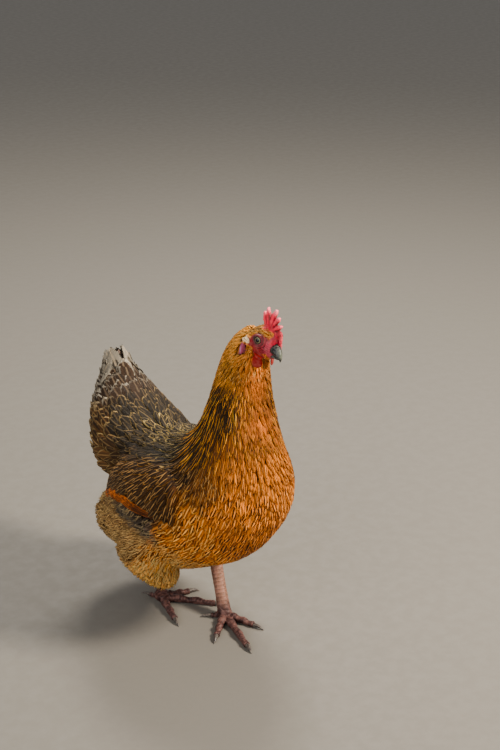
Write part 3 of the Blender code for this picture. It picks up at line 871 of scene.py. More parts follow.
def soft_noise(points, size, seed):
    """Smooth noise between -1 and 1 with lumps about this size across, in metres."""
    q = points / size
    cell = np.floor(q).astype(np.int64)
    t = ease(q - cell, 0, 1)
    total = np.zeros(len(points))
    for step in itertools.product((0, 1), repeat=3):
        c = cell + step
        h = (c[:, 0] * 73856093) ^ (c[:, 1] * 19349663) ^ (c[:, 2] * 83492791) ^ (seed * 2654435761)
        h = (h ^ (h >> 13)) * 1274126177 & 0x7FFFFFFF
        total += np.prod(np.where(step, t, 1 - t), axis=1) * (h / 0x3FFFFFFF - 1)
    return total


# --- skin -----------------------------------------------------------------------------

# Below this many points the skin's parts have not joined.
FEWEST_POINTS = 20000


def body_skin(sizes):
    """The skin under the coat: the body's form, drawn in by the coat's depth."""
    grown, rounds = 1.3 * MM, 4
    mesh = cast_whole(joined(BODY_NODES, grown), sizes.skin_grain, 3)
    co = points_of(mesh)
    depth = np.array([COAT_DEPTH.get(owner, 2.0) for owner in owner_of(co)]) * MM
    for side, _ in SIDES:
        top = co[np.argmin(np.linalg.norm(co - shank_ends(side)[0], axis=1))]
        near = fade(np.linalg.norm(co - top, axis=1), 8 * MM, 26 * MM)
        depth = depth * (1 - near) + 0.4 * MM * near
    edges = read(mesh.edges, "vertices", 2, np.int64)
    for _ in range(12):
        total, count = np.zeros(len(co)), np.zeros(len(co))
        for a, b in ((0, 1), (1, 0)):
            np.add.at(total, edges[:, a], depth[edges[:, b]])
            np.add.at(count, edges[:, a], 1)
        depth = 0.4 * depth + 0.6 * total / np.maximum(count, 1)
    for _ in range(rounds):
        co = co - normals_of(mesh) * ((depth + grown) / rounds)[:, None]
        set_points(mesh, co)
    return cast_whole(mesh, sizes.skin_grain, 2)


def shank_ends(side):
    """The middle of a shank's upper and lower end."""
    co = points_of(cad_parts["shank_" + side].data)
    up = co[:, 2]
    return co[up > up.max() - 5 * MM].mean(axis=0), co[up < up.min() + 5 * MM].mean(axis=0)


def from_shank(side, co):
    """The way up a shank, its length, how far up it places lie, and their way out from it."""
    upper, lower = shank_ends(side)
    axis = unit(upper - lower)
    along = (co - lower) @ axis
    return axis, np.linalg.norm(upper - lower), along, co - lower - axis * along[:, None]


def leg_skin(side, sizes):
    """A shank and foot with plates down the front and across the toes."""
    raw = joined(("shank_" + side, "foot_" + side), 0.35 * MM)
    co = points_of(raw)
    axis, reach, along, _ = from_shank(side, co)
    lift = ease(along, reach - 3 * MM, reach + 1 * MM)
    set_points(raw, co + axis * (lift * 9 * MM)[:, None])
    mesh = cast_whole(raw, sizes.leg_grain, 3)
    co, no = points_of(mesh), normals_of(mesh)
    relief = (scutes(side, co, no) * 0.85 - 0.25) * MM * ease(co[:, 2], 0.6 * MM, 2.2 * MM)
    co = co + no * relief[:, None]
    co[:, 2] = np.maximum(co[:, 2], 0.05 * MM)
    set_points(mesh, co)
    return mesh


def scutes(side, co, no):
    """How high the leg's plates stand at each place, from 0 in the seams to 1."""
    axis, _, along, out = from_shank(side, co)
    front = unit(np.array((0.0, -1.0, 0.0)) + axis * axis[1])
    # Wide plates down the front, small ones round the back.
    row = along / (4.4 * MM) + 0.5 * (np.sign(np.cross(front, axis) @ out.T) > 0)
    saw = row - np.floor(row)
    plate = ease(saw, 0.0, 0.2) * (1 - 0.55 * saw)
    small = 0.45 + 0.5 * soft_noise(co, 2.1 * MM, 5)
    ahead = ease((unit(out) * front).sum(axis=1), -0.1, 0.35)
    shank = plate * ahead + small * (1 - ahead)
    ring = np.linalg.norm(co[:, :2] - foot_middle(side)[None, :2], axis=1) / (3.3 * MM)
    saw = ring - np.floor(ring)
    above = ease(no[:, 2], -0.1, 0.4)
    toe = ease(saw, 0.0, 0.22) * (1 - 0.5 * saw) * above
    toe += (0.4 + 0.4 * soft_noise(co, 1.8 * MM, 9)) * (1 - above)
    on_shank = ease(co[:, 2], 12 * MM, 18 * MM)
    return np.clip(shank * on_shank + toe * (1 - on_shank), 0, 1)


def foot_middle(side):
    """The place on the ground from which a foot's toes spread."""
    low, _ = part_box("foot_" + side)
    lower = shank_ends(side)[1]
    return np.array((lower[0], lower[1] - 4 * MM, low[2]))


def eyelid(side):
    """A closed ring of skin round an eye, thick at the rim and thin outwards."""
    sign = dict(SIDES)[side]
    rings = ((3.75, 3.55, 3.05), (4.3, 4.0, 3.5), (5.2, 4.9, 3.2), (6.5, 6.2, 2.0), (7.6, 7.3, 0.3),
             (6.4, 6.0, -1.2), (4.8, 4.2, 0.4), (3.9, 3.6, 2.2))
    middle = np.array(EYE_SPOT) * (1, sign, 1)
    axis = unit(np.array(EYE_AXIS) * (1, sign, 1))
    ahead = unit(np.array((1.0, 0, 0)) - axis * axis[0])
    up = unit(np.array((0, 0, 1.0)) - axis * axis[2] - ahead * ahead[2])
    turns = 32
    points = [middle + ahead * wide * math.cos(a) * (1 + 0.07 * math.cos(2 * a))
              + up * (high * math.sin(a) - 0.2 * math.cos(a)) + axis * (out + 0.5)
              for wide, high, out in rings for a in angles(turns)]
    faces = np.array(between_rings(len(rings), turns, closed=True))
    return mesh_of(from_head(points), faces[:, (0, 3, 2, 1) if sign > 0 else (1, 2, 3, 0)].tolist())


def ear_pad(side, spot, reach):
    """A smooth oval pad that stands a little out of the coat, as a closed mesh."""
    sign = dict(SIDES)[side]
    middle, normal, _ = coat_form().near(from_head((spot[0], sign * (spot[1] + 4), spot[2])))
    ahead, upward = head_turned(((1, 0, 0), (0, 0, 1)))
    middle, normal = middle[0] - normal[0] * 0.4 * MM, unit(normal[0] + ahead * 0.8)
    up = unit(upward - normal * (normal @ upward))
    along = np.cross(up, normal)
    turns, rows = 20, 10
    co = [middle + (normal * math.cos(a) * reach[1] + along * math.sin(a) * math.cos(b) * reach[0]
                    + up * math.sin(a) * math.sin(b) * reach[2]) * MM
          for a in (math.pi * i / rows for i in range(rows + 1)) for b in angles(turns)]
    return mesh_of(co, between_rings(rows + 1, turns))


def neck_stub():
    """A short closed tube that joins the head's skin to the neck's."""
    rings, turns = ((-4, 0, -4, 11), (-12, 0, -16, 12), (-22, -3, -34, 12), (-28, -7, -52, 12)), 16
    co = [(f + r * math.cos(a), l + r * math.sin(a), u) for f, l, u, r in rings for a in angles(turns)]
    ends = [list(range(turns)), list(range(len(co) - 1, len(co) - 1 - turns, -1))]
    return mesh_of(from_head(co), between_rings(len(rings), turns) + ends)


def head_skin(sizes):
    """The head, comb, wattles and ear lobes in one skin, with lids, folds and creases."""
    parts = [joined(HEAD_NODES, 0.3 * MM)] + [eyelid(side) for side, _ in SIDES]
    parts += [ear_pad(side, EAR_SPOT, (5.8, 2.3, 3.1)) for side, _ in SIDES] + [neck_stub()]
    mesh = cast_whole(mesh_of(*merged(parts)), sizes.head_grain, 2)
    co, no = points_of(mesh), normals_of(mesh)
    h, bare = in_head(co), bare_share(co)
    comb = comb_share(h)
    relief = face_relief(co, h, bare, comb)
    relief -= 0.9 * fade(oval(h[:, ::2], (13.5, 2.5), (3.5, 5.5)), 0.3, 1.1) * ease(h[:, 1], 6, 9)
    relief -= (1 - np.maximum(bare, comb)) * off_lobe(co) * 1.1 * ease(h[:, 2], -60, -18)
    fan, reach = from_comb_foot(h)
    cut = np.maximum(-comb_fan(h), 0) ** 3 * ease(reach, 9, 17) * 4 * comb
    inward = np.stack([-fan[:, 0], 0 * reach, -fan[:, 1]], axis=1) / np.maximum(reach, 1)[:, None]
    co = co + (from_head(inward) - from_head((0, 0, 0))) * cut[:, None]
    set_points(mesh, co + no * (relief * MM - 0.15 * MM)[:, None])
    return mesh


def face_relief(co, h, bare, comb):
    """Folds round the eye, creases and beads of the bare skin, in millimetres."""
    eye = np.hypot(h[:, 0] - EYE_SPOT[0], (h[:, 2] - EYE_SPOT[2]) * 1.1)
    on_side = ease(h[:, 1], 6, 9)
    folds = np.sin(eye * 2.5 + 1.6 * soft_noise(co, 4 * MM, 2)) * np.exp(-((eye - 8.8) / 2.6) ** 2) * on_side
    slant = h @ np.array((0.35, 0.0, 0.94))
    rows = np.sin(slant * 2.9 + 1.8 * soft_noise(co, 5 * MM, 6)) * ease(eye, 8, 11) * on_side
    creases = soft_noise(co * np.array((1, 1, 0.45)), 1.9 * MM, 3)
    beads = np.abs(soft_noise(co, 1.1 * MM, 4))
    relief = 0.32 * folds + (0.28 * creases + 0.24 * rows) * bare * ease(eye, 6, 8)
    relief += 0.34 * beads * np.maximum(comb, bare * 0.7)
    relief += (0.25 * soft_noise(co, 3.2 * MM, 8) + 0.5 * comb_fan(h)) * comb
    hanging = np.sin(h[:, 0] * 1.7 + 1.5 * soft_noise(co, 5 * MM, 11)) * fade(h[:, 2], -19, -15)
    return relief + 0.35 * hanging * bare


def from_comb_foot(h):
    """How far forward and up places lie from the comb's foot, and how far in all."""
    fan = h[:, ::2] - COMB_FOOT
    return fan, np.linalg.norm(fan, axis=1)


def comb_fan(h):
    """1 along the comb's points, -1 in the notches between them, 0 at its foot."""
    fan, reach = from_comb_foot(h)
    degrees = np.degrees(np.arctan2(fan[:, 1], fan[:, 0])) % 360
    ridge = np.interp(degrees, (16, 29, 39, 50.5, 62, 73, 84, 104.5, 125, 135.5, 146, 165),
                      (0, -1, 1, -1, 1, -1, 1, -1, 1, -1, 1, 0))
    return ridge * ease(reach, 6, 14)


def comb_share(h):
    """1 on the comb, 0 on the rest of the head."""
    top = np.maximum(ease(h[:, 2], 12.5, 15.5) * ease(h[:, 0], -12, -6), ease(h[:, 2], 16, 17.5))
    return np.maximum(top, ease(h[:, 0], 17, 19) * ease(h[:, 2], 3, 5))


def skin_hues(co, no):
    """The skin's colour at each place, with painted shade under the coat and in the corner of the mouth, and
    painted light and shade on the raised and sunken bare skin and the comb's points.
    """
    c = bpy.context.scene.hen_colours
    h, up = in_head(co), measure(co)[:, 2]
    bare, comb = bare_share(co), comb_share(h)
    eye = np.hypot(h[:, 0] - EYE_SPOT[0], h[:, 2] - EYE_SPOT[2])
    on_side = ease(h[:, 1], 5, 8)
    # Under the coat the skin takes half the feathers' ground colour, painted shade where it shows between them;
    # on the head it rises to 0.85 of it.
    hue = marking_at(co)[0] * (0.5 + 0.35 * ease(up, 315, 340))[:, None]
    for colour, share in (
            (c.face, bare),
            ((0.36, 0.035, 0.060), ease(h[:, 0], 10, 17) * bare * 0.6),
            (c.ring, fade(eye, 6.6, 8.4) * on_side),
            ((0.035, 0.012, 0.012), fade(eye, 4.5, 5.2) * on_side),
            (c.comb, comb),
            # Painted highlight on the outer reach of the comb's points.
            (c.comb_tip_highlight, ease(from_comb_foot(h)[1], 17, 25) * comb * 0.6),
            (c.wattle, fade(oval(h, WATTLE, (9, 6, 12.5)), 0.85, 1.05)),
            (c.lobe, fade(oval(h, LOBE, (3.8, 6.0, 9.5)), 0.85, 1.05)),
            (c.ear_spot, fade(oval(h, EAR_SPOT, (8.0, 7.0, 3.6)), 0.85, 1.05)),
            ((0.62, 0.27, 0.40), fade(oval(h, LOBE, (2.2, 6.0, 6.5)), 0.4, 1.1) * 0.6),
            # Painted shade in the corner of the mouth.
            ((0.02, 0.01, 0.01), fade(oval(h, (13, 6, -9), (3.0, 4, 1.1)), 0.6, 1.0))):
        hue = blend(hue, colour, share)
    # Painted light and shade: the bare skin and the comb are lighter where the relief stands up and darker in
    # its creases and grooves.
    hue = hue * np.clip(1 + 2.4 * face_relief(co, h, bare, comb), 0.3, 2.0)[:, None]
    horn = blend(np.array(c.leg[:]), c.toe, fade(up, 10, 30))
    for side, sign in SIDES:
        _, reach, along, out = from_shank(side, co)
        shank = (np.linalg.norm(out, axis=1) < 14 * MM) & (along < reach + 4 * MM)
        leg = (shank | (up < 11)) & (np.sign(co[:, 0]) == sign)
        plate = scutes(side, co, no)[:, None]
        scaled = horn * (0.62 + 0.75 * plate) + np.array((0.09, 0.05, 0.04)) * ease(plate, 0.7, 1.0)
        hue = np.where(leg[:, None], scaled, hue)
    return hue


class HEN_OT_skin(bpy.types.Operator):
    """One skin over the whole body, head, legs and feet"""
    bl_idname = "hen.skin"
    bl_label = "Skin"

    def execute(self, context):
        sizes = context.scene.hen_sizes
        body = body_skin(sizes)
        legs = [leg_skin(side, sizes) for side, _ in SIDES]
        mesh = union(body, head_skin(sizes), *legs)
        if len(mesh.vertices) < FEWEST_POINTS:
            raise RuntimeError("the skin's parts did not join")
        mesh.name = "skin"
        smooth_shaded(mesh)
        paint(mesh, skin_hues(points_of(mesh), normals_of(mesh)))
        mesh.materials.clear()
        obj = show("skin", mesh, skin_finish())
        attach(obj, "root")
        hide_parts(*(BODY_NODES + HEAD_NODES + LEG_NODES))
        return {"FINISHED"}


# --- eyes, bill and claws -------------------------------------------------------------

def eyeball(side):
    """A ball that bulges at the front, with each point's distance from its axis."""
    low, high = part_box("eye_" + side)
    middle = np.array((low + high) / 2)
    axis = head_turned(np.array(EYE_AXIS) * (1, dict(SIDES)[side], 1))[0]
    across = unit(np.cross(axis, (0, 0, 1.0)))
    up = np.cross(across, axis)
    turns, rings, size, bulge = 40, 26, 4.85, 0.40
    co, ring = [middle + axis * (size + bulge) * MM], [0.0]
    for a in (math.pi * i / rings for i in range(1, rings)):
        r = size + bulge * math.exp(-(a / 0.55) ** 2)
        co += [middle + (axis * math.cos(a) + (across * math.cos(b) + up * math.sin(b)) * math.sin(a)) * r * MM
               for b in angles(turns)]
        ring += [math.sin(a) if a < math.pi / 2 else 1.0] * turns
    last = len(co)
    faces = between_rings(rings - 1, turns, 1)
    for k, m in zip(range(turns), [*range(1, turns), 0]):
        faces += [[0, 1 + k, 1 + m], [last - turns + k, last, last - turns + m]]
    mesh = mesh_of(co + [middle - axis * size * MM], faces, "eyeball_" + side)
    smooth_shaded(mesh)
    store(mesh, "ring", np.array(ring + [1.0]))
    return mesh


class HEN_OT_eyes(bpy.types.Operator):
    """Both eyes, set in their lids"""
    bl_idname = "hen.eyes"
    bl_label = "Eyes"

    def execute(self, context):
        for side, _ in SIDES:
            obj = show("eyeball_" + side, eyeball(side), eye_finish(side))
            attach(obj, "root")
            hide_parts("eye_" + side)
        return {"FINISHED"}


class HEN_OT_bill(bpy.types.Operator):
    """Upper and lower bill with nostrils"""
    bl_idname = "hen.bill"
    bl_label = "Bill"

    def execute(self, context):
        c = context.scene.hen_colours
        finish = horn_finish("bill_horn", 0.36)
        for name in ("bill_upper", "bill_lower"):
            mesh = cast_whole(joined((name,), 0.1 * MM), 0.35 * MM, 4)
            co, no = points_of(mesh), normals_of(mesh)
            h = in_head(co)
            side = ease(h[:, 1], 1.2, 2.4)
            slot = oval(h[:, ::2], (22.4, 0.9), (2.2, 0.9))
            if name == "bill_upper":
                hood = oval(h[:, ::2], (21.9, 2.3), (3.4, 1.6))
                relief = (0.40 * fade(hood, 0.5, 1.1) - 1.1 * fade(slot, 0.45, 1.0)) * side
                set_points(mesh, co + no * (relief * MM)[:, None])
            # The root of the bill is dark horn. The nostril slit and a ring round it are painted dark as well,
            # as painted shade in the slit.
            root = np.maximum(fade(h[:, 0] + 0.45 * h[:, 2], 26.0, 31.5), fade(slot, 0.9, 2.1) * side)
            # Painted shade along the mouth line, where the upper and lower bill meet.
            mouth_line_shade = np.exp(-((h[:, 2] + 7.7) / 1.1) ** 2) * fade(h[:, 0], 29, 34)
            paint(mesh, blend(np.array(c.bill_edge[:]), c.bill, np.clip(root + mouth_line_shade, 0, 1)))
            smooth_shaded(mesh)
            obj = show(name + "_horn", mesh, finish)
            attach(obj, "root")
            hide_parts(name)
        return {"FINISHED"}


class HEN_OT_claws(bpy.types.Operator):
    """Every claw, smoothly curved"""
    bl_idname = "hen.claws"
    bl_label = "Claws"

    def execute(self, context):
        finish = horn_finish("claw_horn", 0.38)
        for name in sorted(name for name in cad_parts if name.startswith("claw_")):
            mesh = cast_whole(joined((name,), 0.15 * MM), 0.4 * MM, 3)
            paint(mesh, context.scene.hen_colours.claw[:])
            smooth_shaded(mesh)
            obj = show("horn_" + name, mesh, finish)
            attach(obj, "root")
            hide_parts(name)
        return {"FINISHED"}


# --- the coat, group by group ---------------------------------------------------------

class FeatherGroup:
    """What every group of feathers shares: strew, shape, mark and lay."""
    piece = ""
    slot_name = "plumage_gold"
    vanes = ""
    cut = "round"
    cling = 0.9
    gap = 5.0
    tip = 0.3
    on = ()
    shape = {}
    # Length, width and how deep the roots stand, in millimetres, where all are alike.
    size = ()

    def mask(self, here, owners):
        """Which places of its parts a group takes."""
        return np.ones(len(here), bool)

    def gaps(self, here):
        """How far apart the feathers stand, in millimetres."""
        return np.full(len(here), self.gap)

    def sizes(self, here, s):
        """Length and width of the feathers, and how deep their roots stand, in metres."""
        return [value * MM for value in self.size]

    def roots(self, rng):
        full = bpy.context.scene.hen_sizes.fullness
        points, owners = scatter(self.on, self.gap / full, rng)
        here = measure(points)
        keep = self.mask(here, owners)
        points, here = points[keep], here[keep]
        return points[thin_out(points, self.gaps(here) * MM / full)]

    def aim(self, feathers):
        """Where a group's feathers point, if it is not the coat's own lie."""

    def tint(self, feathers, rng):
        """What a group changes in the markings of its place."""

    def execute(self, context):
        s = context.scene.hen_sizes
        rng = np.random.default_rng(s.seed + sum(map(ord, self.piece)))
        roots = self.roots(rng)
        if len(roots) < 10:
            raise RuntimeError(f"{self.piece} found no place to grow")
        feathers = Feathers(roots, *self.sizes(measure(roots), s), self.tip * MM)
        feathers.length *= 1 + rng.normal(0, 0.08, len(roots))
        self.aim(feathers)
        dress(feathers, rng)
        self.tint(feathers, rng)
        finish = finish_called(self.vanes or self.slot_name + "_vanes")
        feather_piece(self.piece, feathers, self.cut, finish, self.slot_name, rng, cling=self.cling,
                      **self.shape)
        return {"FINISHED"}


# How some finishes differ: how far the lace and the webs reach at the vanes' tips.
TIPS = {"hackle_vanes": {"tip": 0.50, "web_end": 0.97}}


def finish_called(name):
    return bpy.data.materials.get(name) or feather_finish(name, **TIPS.get(name, {}))


def wing_low(forward):
    """How high the lower edge of the folded wing's blades is, by how far forward it is."""
    return np.interp(forward, (-60, -48, -36, -9, 15, 34, 50, 64), (137, 141, 148, 158, 161, 157, 149, 146))


def on_back(here):
    """Which places are on the back between the wings rather than on the breast."""
    return (here[:, 0] < 62) & (here[:, 2] > 190)


def tips_of(here, length):
    """Where feathers of this length, in metres, that grow at these places end."""
    points = place(here)
    return measure(points + lie_at(points) * length)


def clear_of_lobe(here, grown, ahead):
    """Which places neither are on the ear lobe nor send a feather over it."""
    points = place(here)
    way = lie_at(points) * ahead * MM
    clear = [off_lobe(points + way * share, grown) for share in (0.0, 0.35, 0.7, 1.0)]
    return np.min(clear, axis=0) > 0.5


class Fringe(FeatherGroup):
    """Loose barbs that break up the edges of the feathers under them."""
    cut, cling = "barb", 0.8
    shape = {"across": 2, "thick": 0.12 * MM, "wander": 0.2, "free": 0.7, "curl": 0.7}
    pale, deep = 0.5, 0.10

    def tint(self, feathers, rng):
        draw = rng.random((len(feathers.root), 1))
        pale = feathers.edge * 0.75 + np.array((0.25, 0.18, 0.075))
        feathers.ground = np.select([draw < self.pale, draw > 1 - self.deep],
                                    [pale, feathers.dark * 1.5], feathers.ground)
        feathers.marks *= 0


class HEN_OT_crown(FeatherGroup, bpy.types.Operator):
    """Small feathers of the crown, cheeks and chin"""
    bl_idname = "hen.crown"
    bl_label = "Crown feathers"
    piece, cut, on, gap = "crown_feathers", "small", ("head",), 1.35
    size = (6.5, 1.7, 1.0)
    shape = {"across": 2, "thick": 0.1 * MM}

    def mask(self, here, owners):
        return (bare_share(place(here)) < 0.3) & clear_of_lobe(here, 1.0, 6)


class HEN_OT_bristles(Fringe, bpy.types.Operator):
    """Thin bristles over the head's feathers and at the edge of the bare face"""
    bl_idname = "hen.bristles"
    bl_label = "Head bristles"
    piece, on, cling, gap, tip = "head_bristles", ("head", "neck"), 0.85, 1.5, -0.25
    size = (6.0, 0.7, 0.6)
    shape = {"across": 2, "thick": 0.1 * MM, "wander": 0.22, "curl": 0.5}
    pale, deep = 0.45, 0.25

    def mask(self, here, owners):
        edge = np.random.default_rng(3).random(len(here)) > bare_share(place(here)) * 1.1
        return edge & (here[:, 2] > 318) & clear_of_lobe(here, 0.95, 6)


class HEN_OT_neck(FeatherGroup, bpy.types.Operator):
    """Short feathers of the upper neck and throat, growing into long pointed hackles"""
    bl_idname = "hen.neck"
    bl_label = "Neck feathers"
    piece, cut, on, gap, vanes = "neck_feathers", "pointed", ("neck", "breast", "trunk"), 1.9, "hackle_vanes"
    tip = -0.2

    def gaps(self, here):
        return 1.9 + 2.7 * ease(350 - here[:, 2], 0, 90)

    def mask(self, here, owners):
        low = (owners != "neck") & (here[:, 2] > 215) & (here[:, 0] > 20)
        return ((owners == "neck") | low) & clear_of_lobe(here, 0.95, 8)

    def sizes(self, here, s):
        low = ease(350 - here[:, 2], 0, 85)
        front = ease(here[:, 0] - np.interp(here[:, 2], (230, 300, 350), (108, 112, 114)), 0, 25)
        longest = s.hackle * (1 - 0.45 * front)
        return 8 * MM + (longest - 8 * MM) * low, (2.2 + 3.8 * low) * MM, (1.6 + 2.9 * low) * MM


class HEN_OT_breast(FeatherGroup, bpy.types.Operator):
    """Narrow rounded feathers of the breast and belly"""
    bl_idname = "hen.breast"
    bl_label = "Breast feathers"
    piece, cut, gap, on = "breast_feathers", "leaf", 6.5, ("breast", "trunk")
    shape = {"wander": 0.15, "curl": 0.3}

    def gaps(self, here):
        return 6.5 + 0.5 * ease(175 - here[:, 2], 0, 50)

    def mask(self, here, owners):
        belly = (here[:, 2] < 165) & (here[:, 0] > 45)
        return ((owners == "breast") | belly) & (here[:, 2] < 252) & ~on_back(here)

    def sizes(self, here, s):
        return s.breast * 1.25, 12.0 * MM, 5.0 * MM


class HEN_OT_back(FeatherGroup, bpy.types.Operator):
    """Broad feathers over the back between the wings"""
    bl_idname = "hen.back"
    bl_label = "Back feathers"
    piece, cut, gap, slot_name, tip = "back_feathers", "leaf", 6.2, "plumage_dark", 0.0
    on = ("trunk", "abdomen", "breast")
    shape = {"wander": 0.14, "curl": 0.3}

    def mask(self, here, owners):
        return np.where(owners == "breast", on_back(here), here[:, 2] >= 160)

    def sizes(self, here, s):
        return s.covert * 1.2, 11.0 * MM, 5.0 * MM


class HEN_OT_blades(FeatherGroup, bpy.types.Operator):
    """Long blades whose open edges make the stripe along each folded wing"""
    bl_idname = "hen.blades"
    bl_label = "Wing blades"
    piece, cut, cling, slot_name, tip = "wing_blades", "blade", 0.8, "plumage_dark", -0.2
    shape = {"across": 6, "wander": 0.03, "ragged": 0.015, "free": 0.85, "curl": 0.0}

    def roots(self, rng):
        forward = np.linspace(74, -30, 14)
        spots = [(f, sign * 95, wing_low(f) + up) for up in (6.5, 3.0) for f in forward for _, sign in SIDES]
        return coat_form().near(place(spots))[0]

    def sizes(self, here, s):
        return np.clip(here[:, 0] + 62, 20, 40) * MM, 6.5 * MM, 1.0 * MM

    def aim(self, feathers):
        here = measure(feathers.root)
        ahead = here[:, 0] - feathers.length / MM
        rise = wing_low(ahead) - wing_low(here[:, 0])
        feathers.way = unit(np.stack([0 * rise, feathers.length / MM, rise], axis=1))

    def tint(self, feathers, rng):
        stripe = np.array(bpy.context.scene.hen_colours.stripe[:])
        bright = ease(-measure(feathers.root)[:, 0], -75, -15)[:, None]
        feathers.ground = stripe * (0.25 + 0.65 * bright) * (1 + rng.normal(0, 0.22, bright.shape))
        feathers.edge, feathers.dark = feathers.ground * 1.5, feathers.ground * 0.15
        feathers.marks[:] = (0.8, 0.1, 0.9, 0.1)


class HEN_OT_wings(FeatherGroup, bpy.types.Operator):
    """Rows of coverts over both folded wings"""
    bl_idname = "hen.wings"
    bl_label = "Wing coverts"
    piece, cut, gap, slot_name, tip = "wing_coverts", "leaf", 5.0, "plumage_dark", -0.5
    on = WINGS

    def mask(self, here, owners):
        tip = tips_of(here, bpy.context.scene.hen_sizes.covert)
        return tip[:, 2] > wing_low(tip[:, 0]) + 4.0

    def sizes(self, here, s):
        return s.covert, 9.5 * MM, 1.8 * MM


class HEN_OT_saddle(FeatherGroup, bpy.types.Operator):
    """Laced feathers of the saddle, running up on to the tail"""
    bl_idname = "hen.saddle"
    bl_label = "Saddle feathers"
    piece, cut, gap, on, slot_name = "saddle_feathers", "round", 6.2, ("saddle",), "plumage_dark"
    shape = {"free": 0.75, "wander": 0.16, "across": 6, "ragged": 0.03, "curl": 0.3}

    def mask(self, here, owners):
        return tips_of(here, 0.9 * bpy.context.scene.hen_sizes.saddle)[:, 2] < 243

    def sizes(self, here, s):
        return s.saddle, 13.5 * MM, 4.0 * MM


class HEN_OT_coverts(FeatherGroup, bpy.types.Operator):
    """Broad overlapping feathers at the foot and the rear edge of the tail"""
    bl_idname = "hen.coverts"
    bl_label = "Tail coverts"
    piece, cut, gap, on, slot_name, cling, tip = ("tail_coverts", "round", 8.6, ("tail", "saddle"),
                                                  "plumage_tail", 0.85, 0.5)
    shape = {"free": 0.7, "across": 6, "wander": 0.08, "ragged": 0.04}

    def mask(self, here, owners):
        return (here[:, 2] < 240) & (here[:, 2] > 192) & (here[:, 0] < -84)

    def sizes(self, here, s):
        return np.clip((258 - here[:, 2]) / 0.8, 12, 34) * MM, 19 * MM, 4.0 * MM


class HEN_OT_tail(FeatherGroup, bpy.types.Operator):
    """The tail's long feathers, with frayed pale ends"""
    bl_idname = "hen.tail"
    bl_label = "Tail feathers"
    piece, cut, slot_name, cling, tip = "tail_feathers", "blade", "plumage_tail", 0.85, 0.9
    size = (43, 19, 2.5)
    shape = {"across": 8, "wander": 0.05, "ragged": 0.05, "free": 0.85}
    ends = ((-139, 270), (-143, 267), (-147, 264), (-150, 258), (-153, 250), (-154, 240))

    def roots(self, rng):
        spots = []
        for k, (forward, up) in enumerate(self.ends):
            lean = math.radians(38 - 6 * k)
            spots += [(forward + 42 * math.sin(lean), sign * out, up - 42 * math.cos(lean))
                      for out in (30, 10) for _, sign in SIDES]
        return coat_form().near(place(spots))[0]

    def tint(self, feathers, rng):
        ash = np.array(bpy.context.scene.hen_colours.ash[:])
        feathers.ground[:], feathers.edge[:] = ash * 0.4, ash
        feathers.marks[:] = (0.8, 0.6, 0.6, 0.9)

    def aim(self, feathers):
        ends = np.repeat(np.array(self.ends, float), 4, axis=0)
        here = measure(feathers.root)
        feathers.way = unit(np.stack([0 * here[:, 0], here[:, 0] - ends[:, 0], ends[:, 1] - here[:, 2]], axis=1))


class HEN_OT_fluff(FeatherGroup, bpy.types.Operator):
    """Soft, loose feathers under the tail and the wings"""
    bl_idname = "hen.fluff"
    bl_label = "Fluff"
    piece, cut, gap, tip = "fluff_feathers", "soft", 4.8, 0.0
    on = ("abdomen", "trunk") + WINGS
    shape = {"ragged": 0.09, "wander": 0.2, "free": 0.8, "curl": 0.5}

    def mask(self, here, owners):
        low = (owners == "abdomen") & (here[:, 2] < 160)
        under = (owners == "trunk") & (here[:, 2] < 165) & (here[:, 0] <= 50)
        wing = np.isin(owners, WINGS) & (here[:, 2] < wing_low(here[:, 0]) + 2)
        return low | under | wing

    def sizes(self, here, s):
        return s.fluff, 9 * MM, np.where(np.abs(here[:, 1]) > 70, 2.0, 6.0) * MM


class HEN_OT_thighs(FeatherGroup, bpy.types.Operator):
    """Feathers of both thighs, drawn in towards the hock"""
    bl_idname = "hen.thighs"
    bl_label = "Thigh feathers"
    piece, cut, gap, on = "thigh_feathers", "soft", 3.8, ("thigh_left", "thigh_right")
    size = (19, 7.5, 4.5)
    shape = {"ragged": 0.09, "wander": 0.18, "free": 0.5, "curl": 0.5}


class HEN_OT_breast_fringe(Fringe, bpy.types.Operator):
    """Loose barbs over the breast"""
    bl_idname = "hen.breast_fringe"
    bl_label = "Breast barbs"
    piece, gap, tip, on = "breast_barbs", 4.0, -0.3, ("breast",)
    size = (8.0, 0.8, 0.8)


class HEN_OT_fluff_fringe(Fringe, bpy.types.Operator):
    """Long pale barbs over the fluff, belly and thighs"""
    bl_idname = "hen.fluff_fringe"
    bl_label = "Fluff barbs"
    piece, gap, tip, pale, deep = "fluff_barbs", 2.6, -0.7, 0.68, 0.12
    size = (17.0, 1.0, 0.8)
    on = ("thigh_left", "thigh_right", "abdomen", "trunk") + WINGS

    def mask(self, here, owners):
        under = ~np.isin(owners, WINGS) | (here[:, 2] < wing_low(here[:, 0]) + 1)
        return (here[:, 2] < 160) & under


# --- stage ----------------------------------------------------------------------------

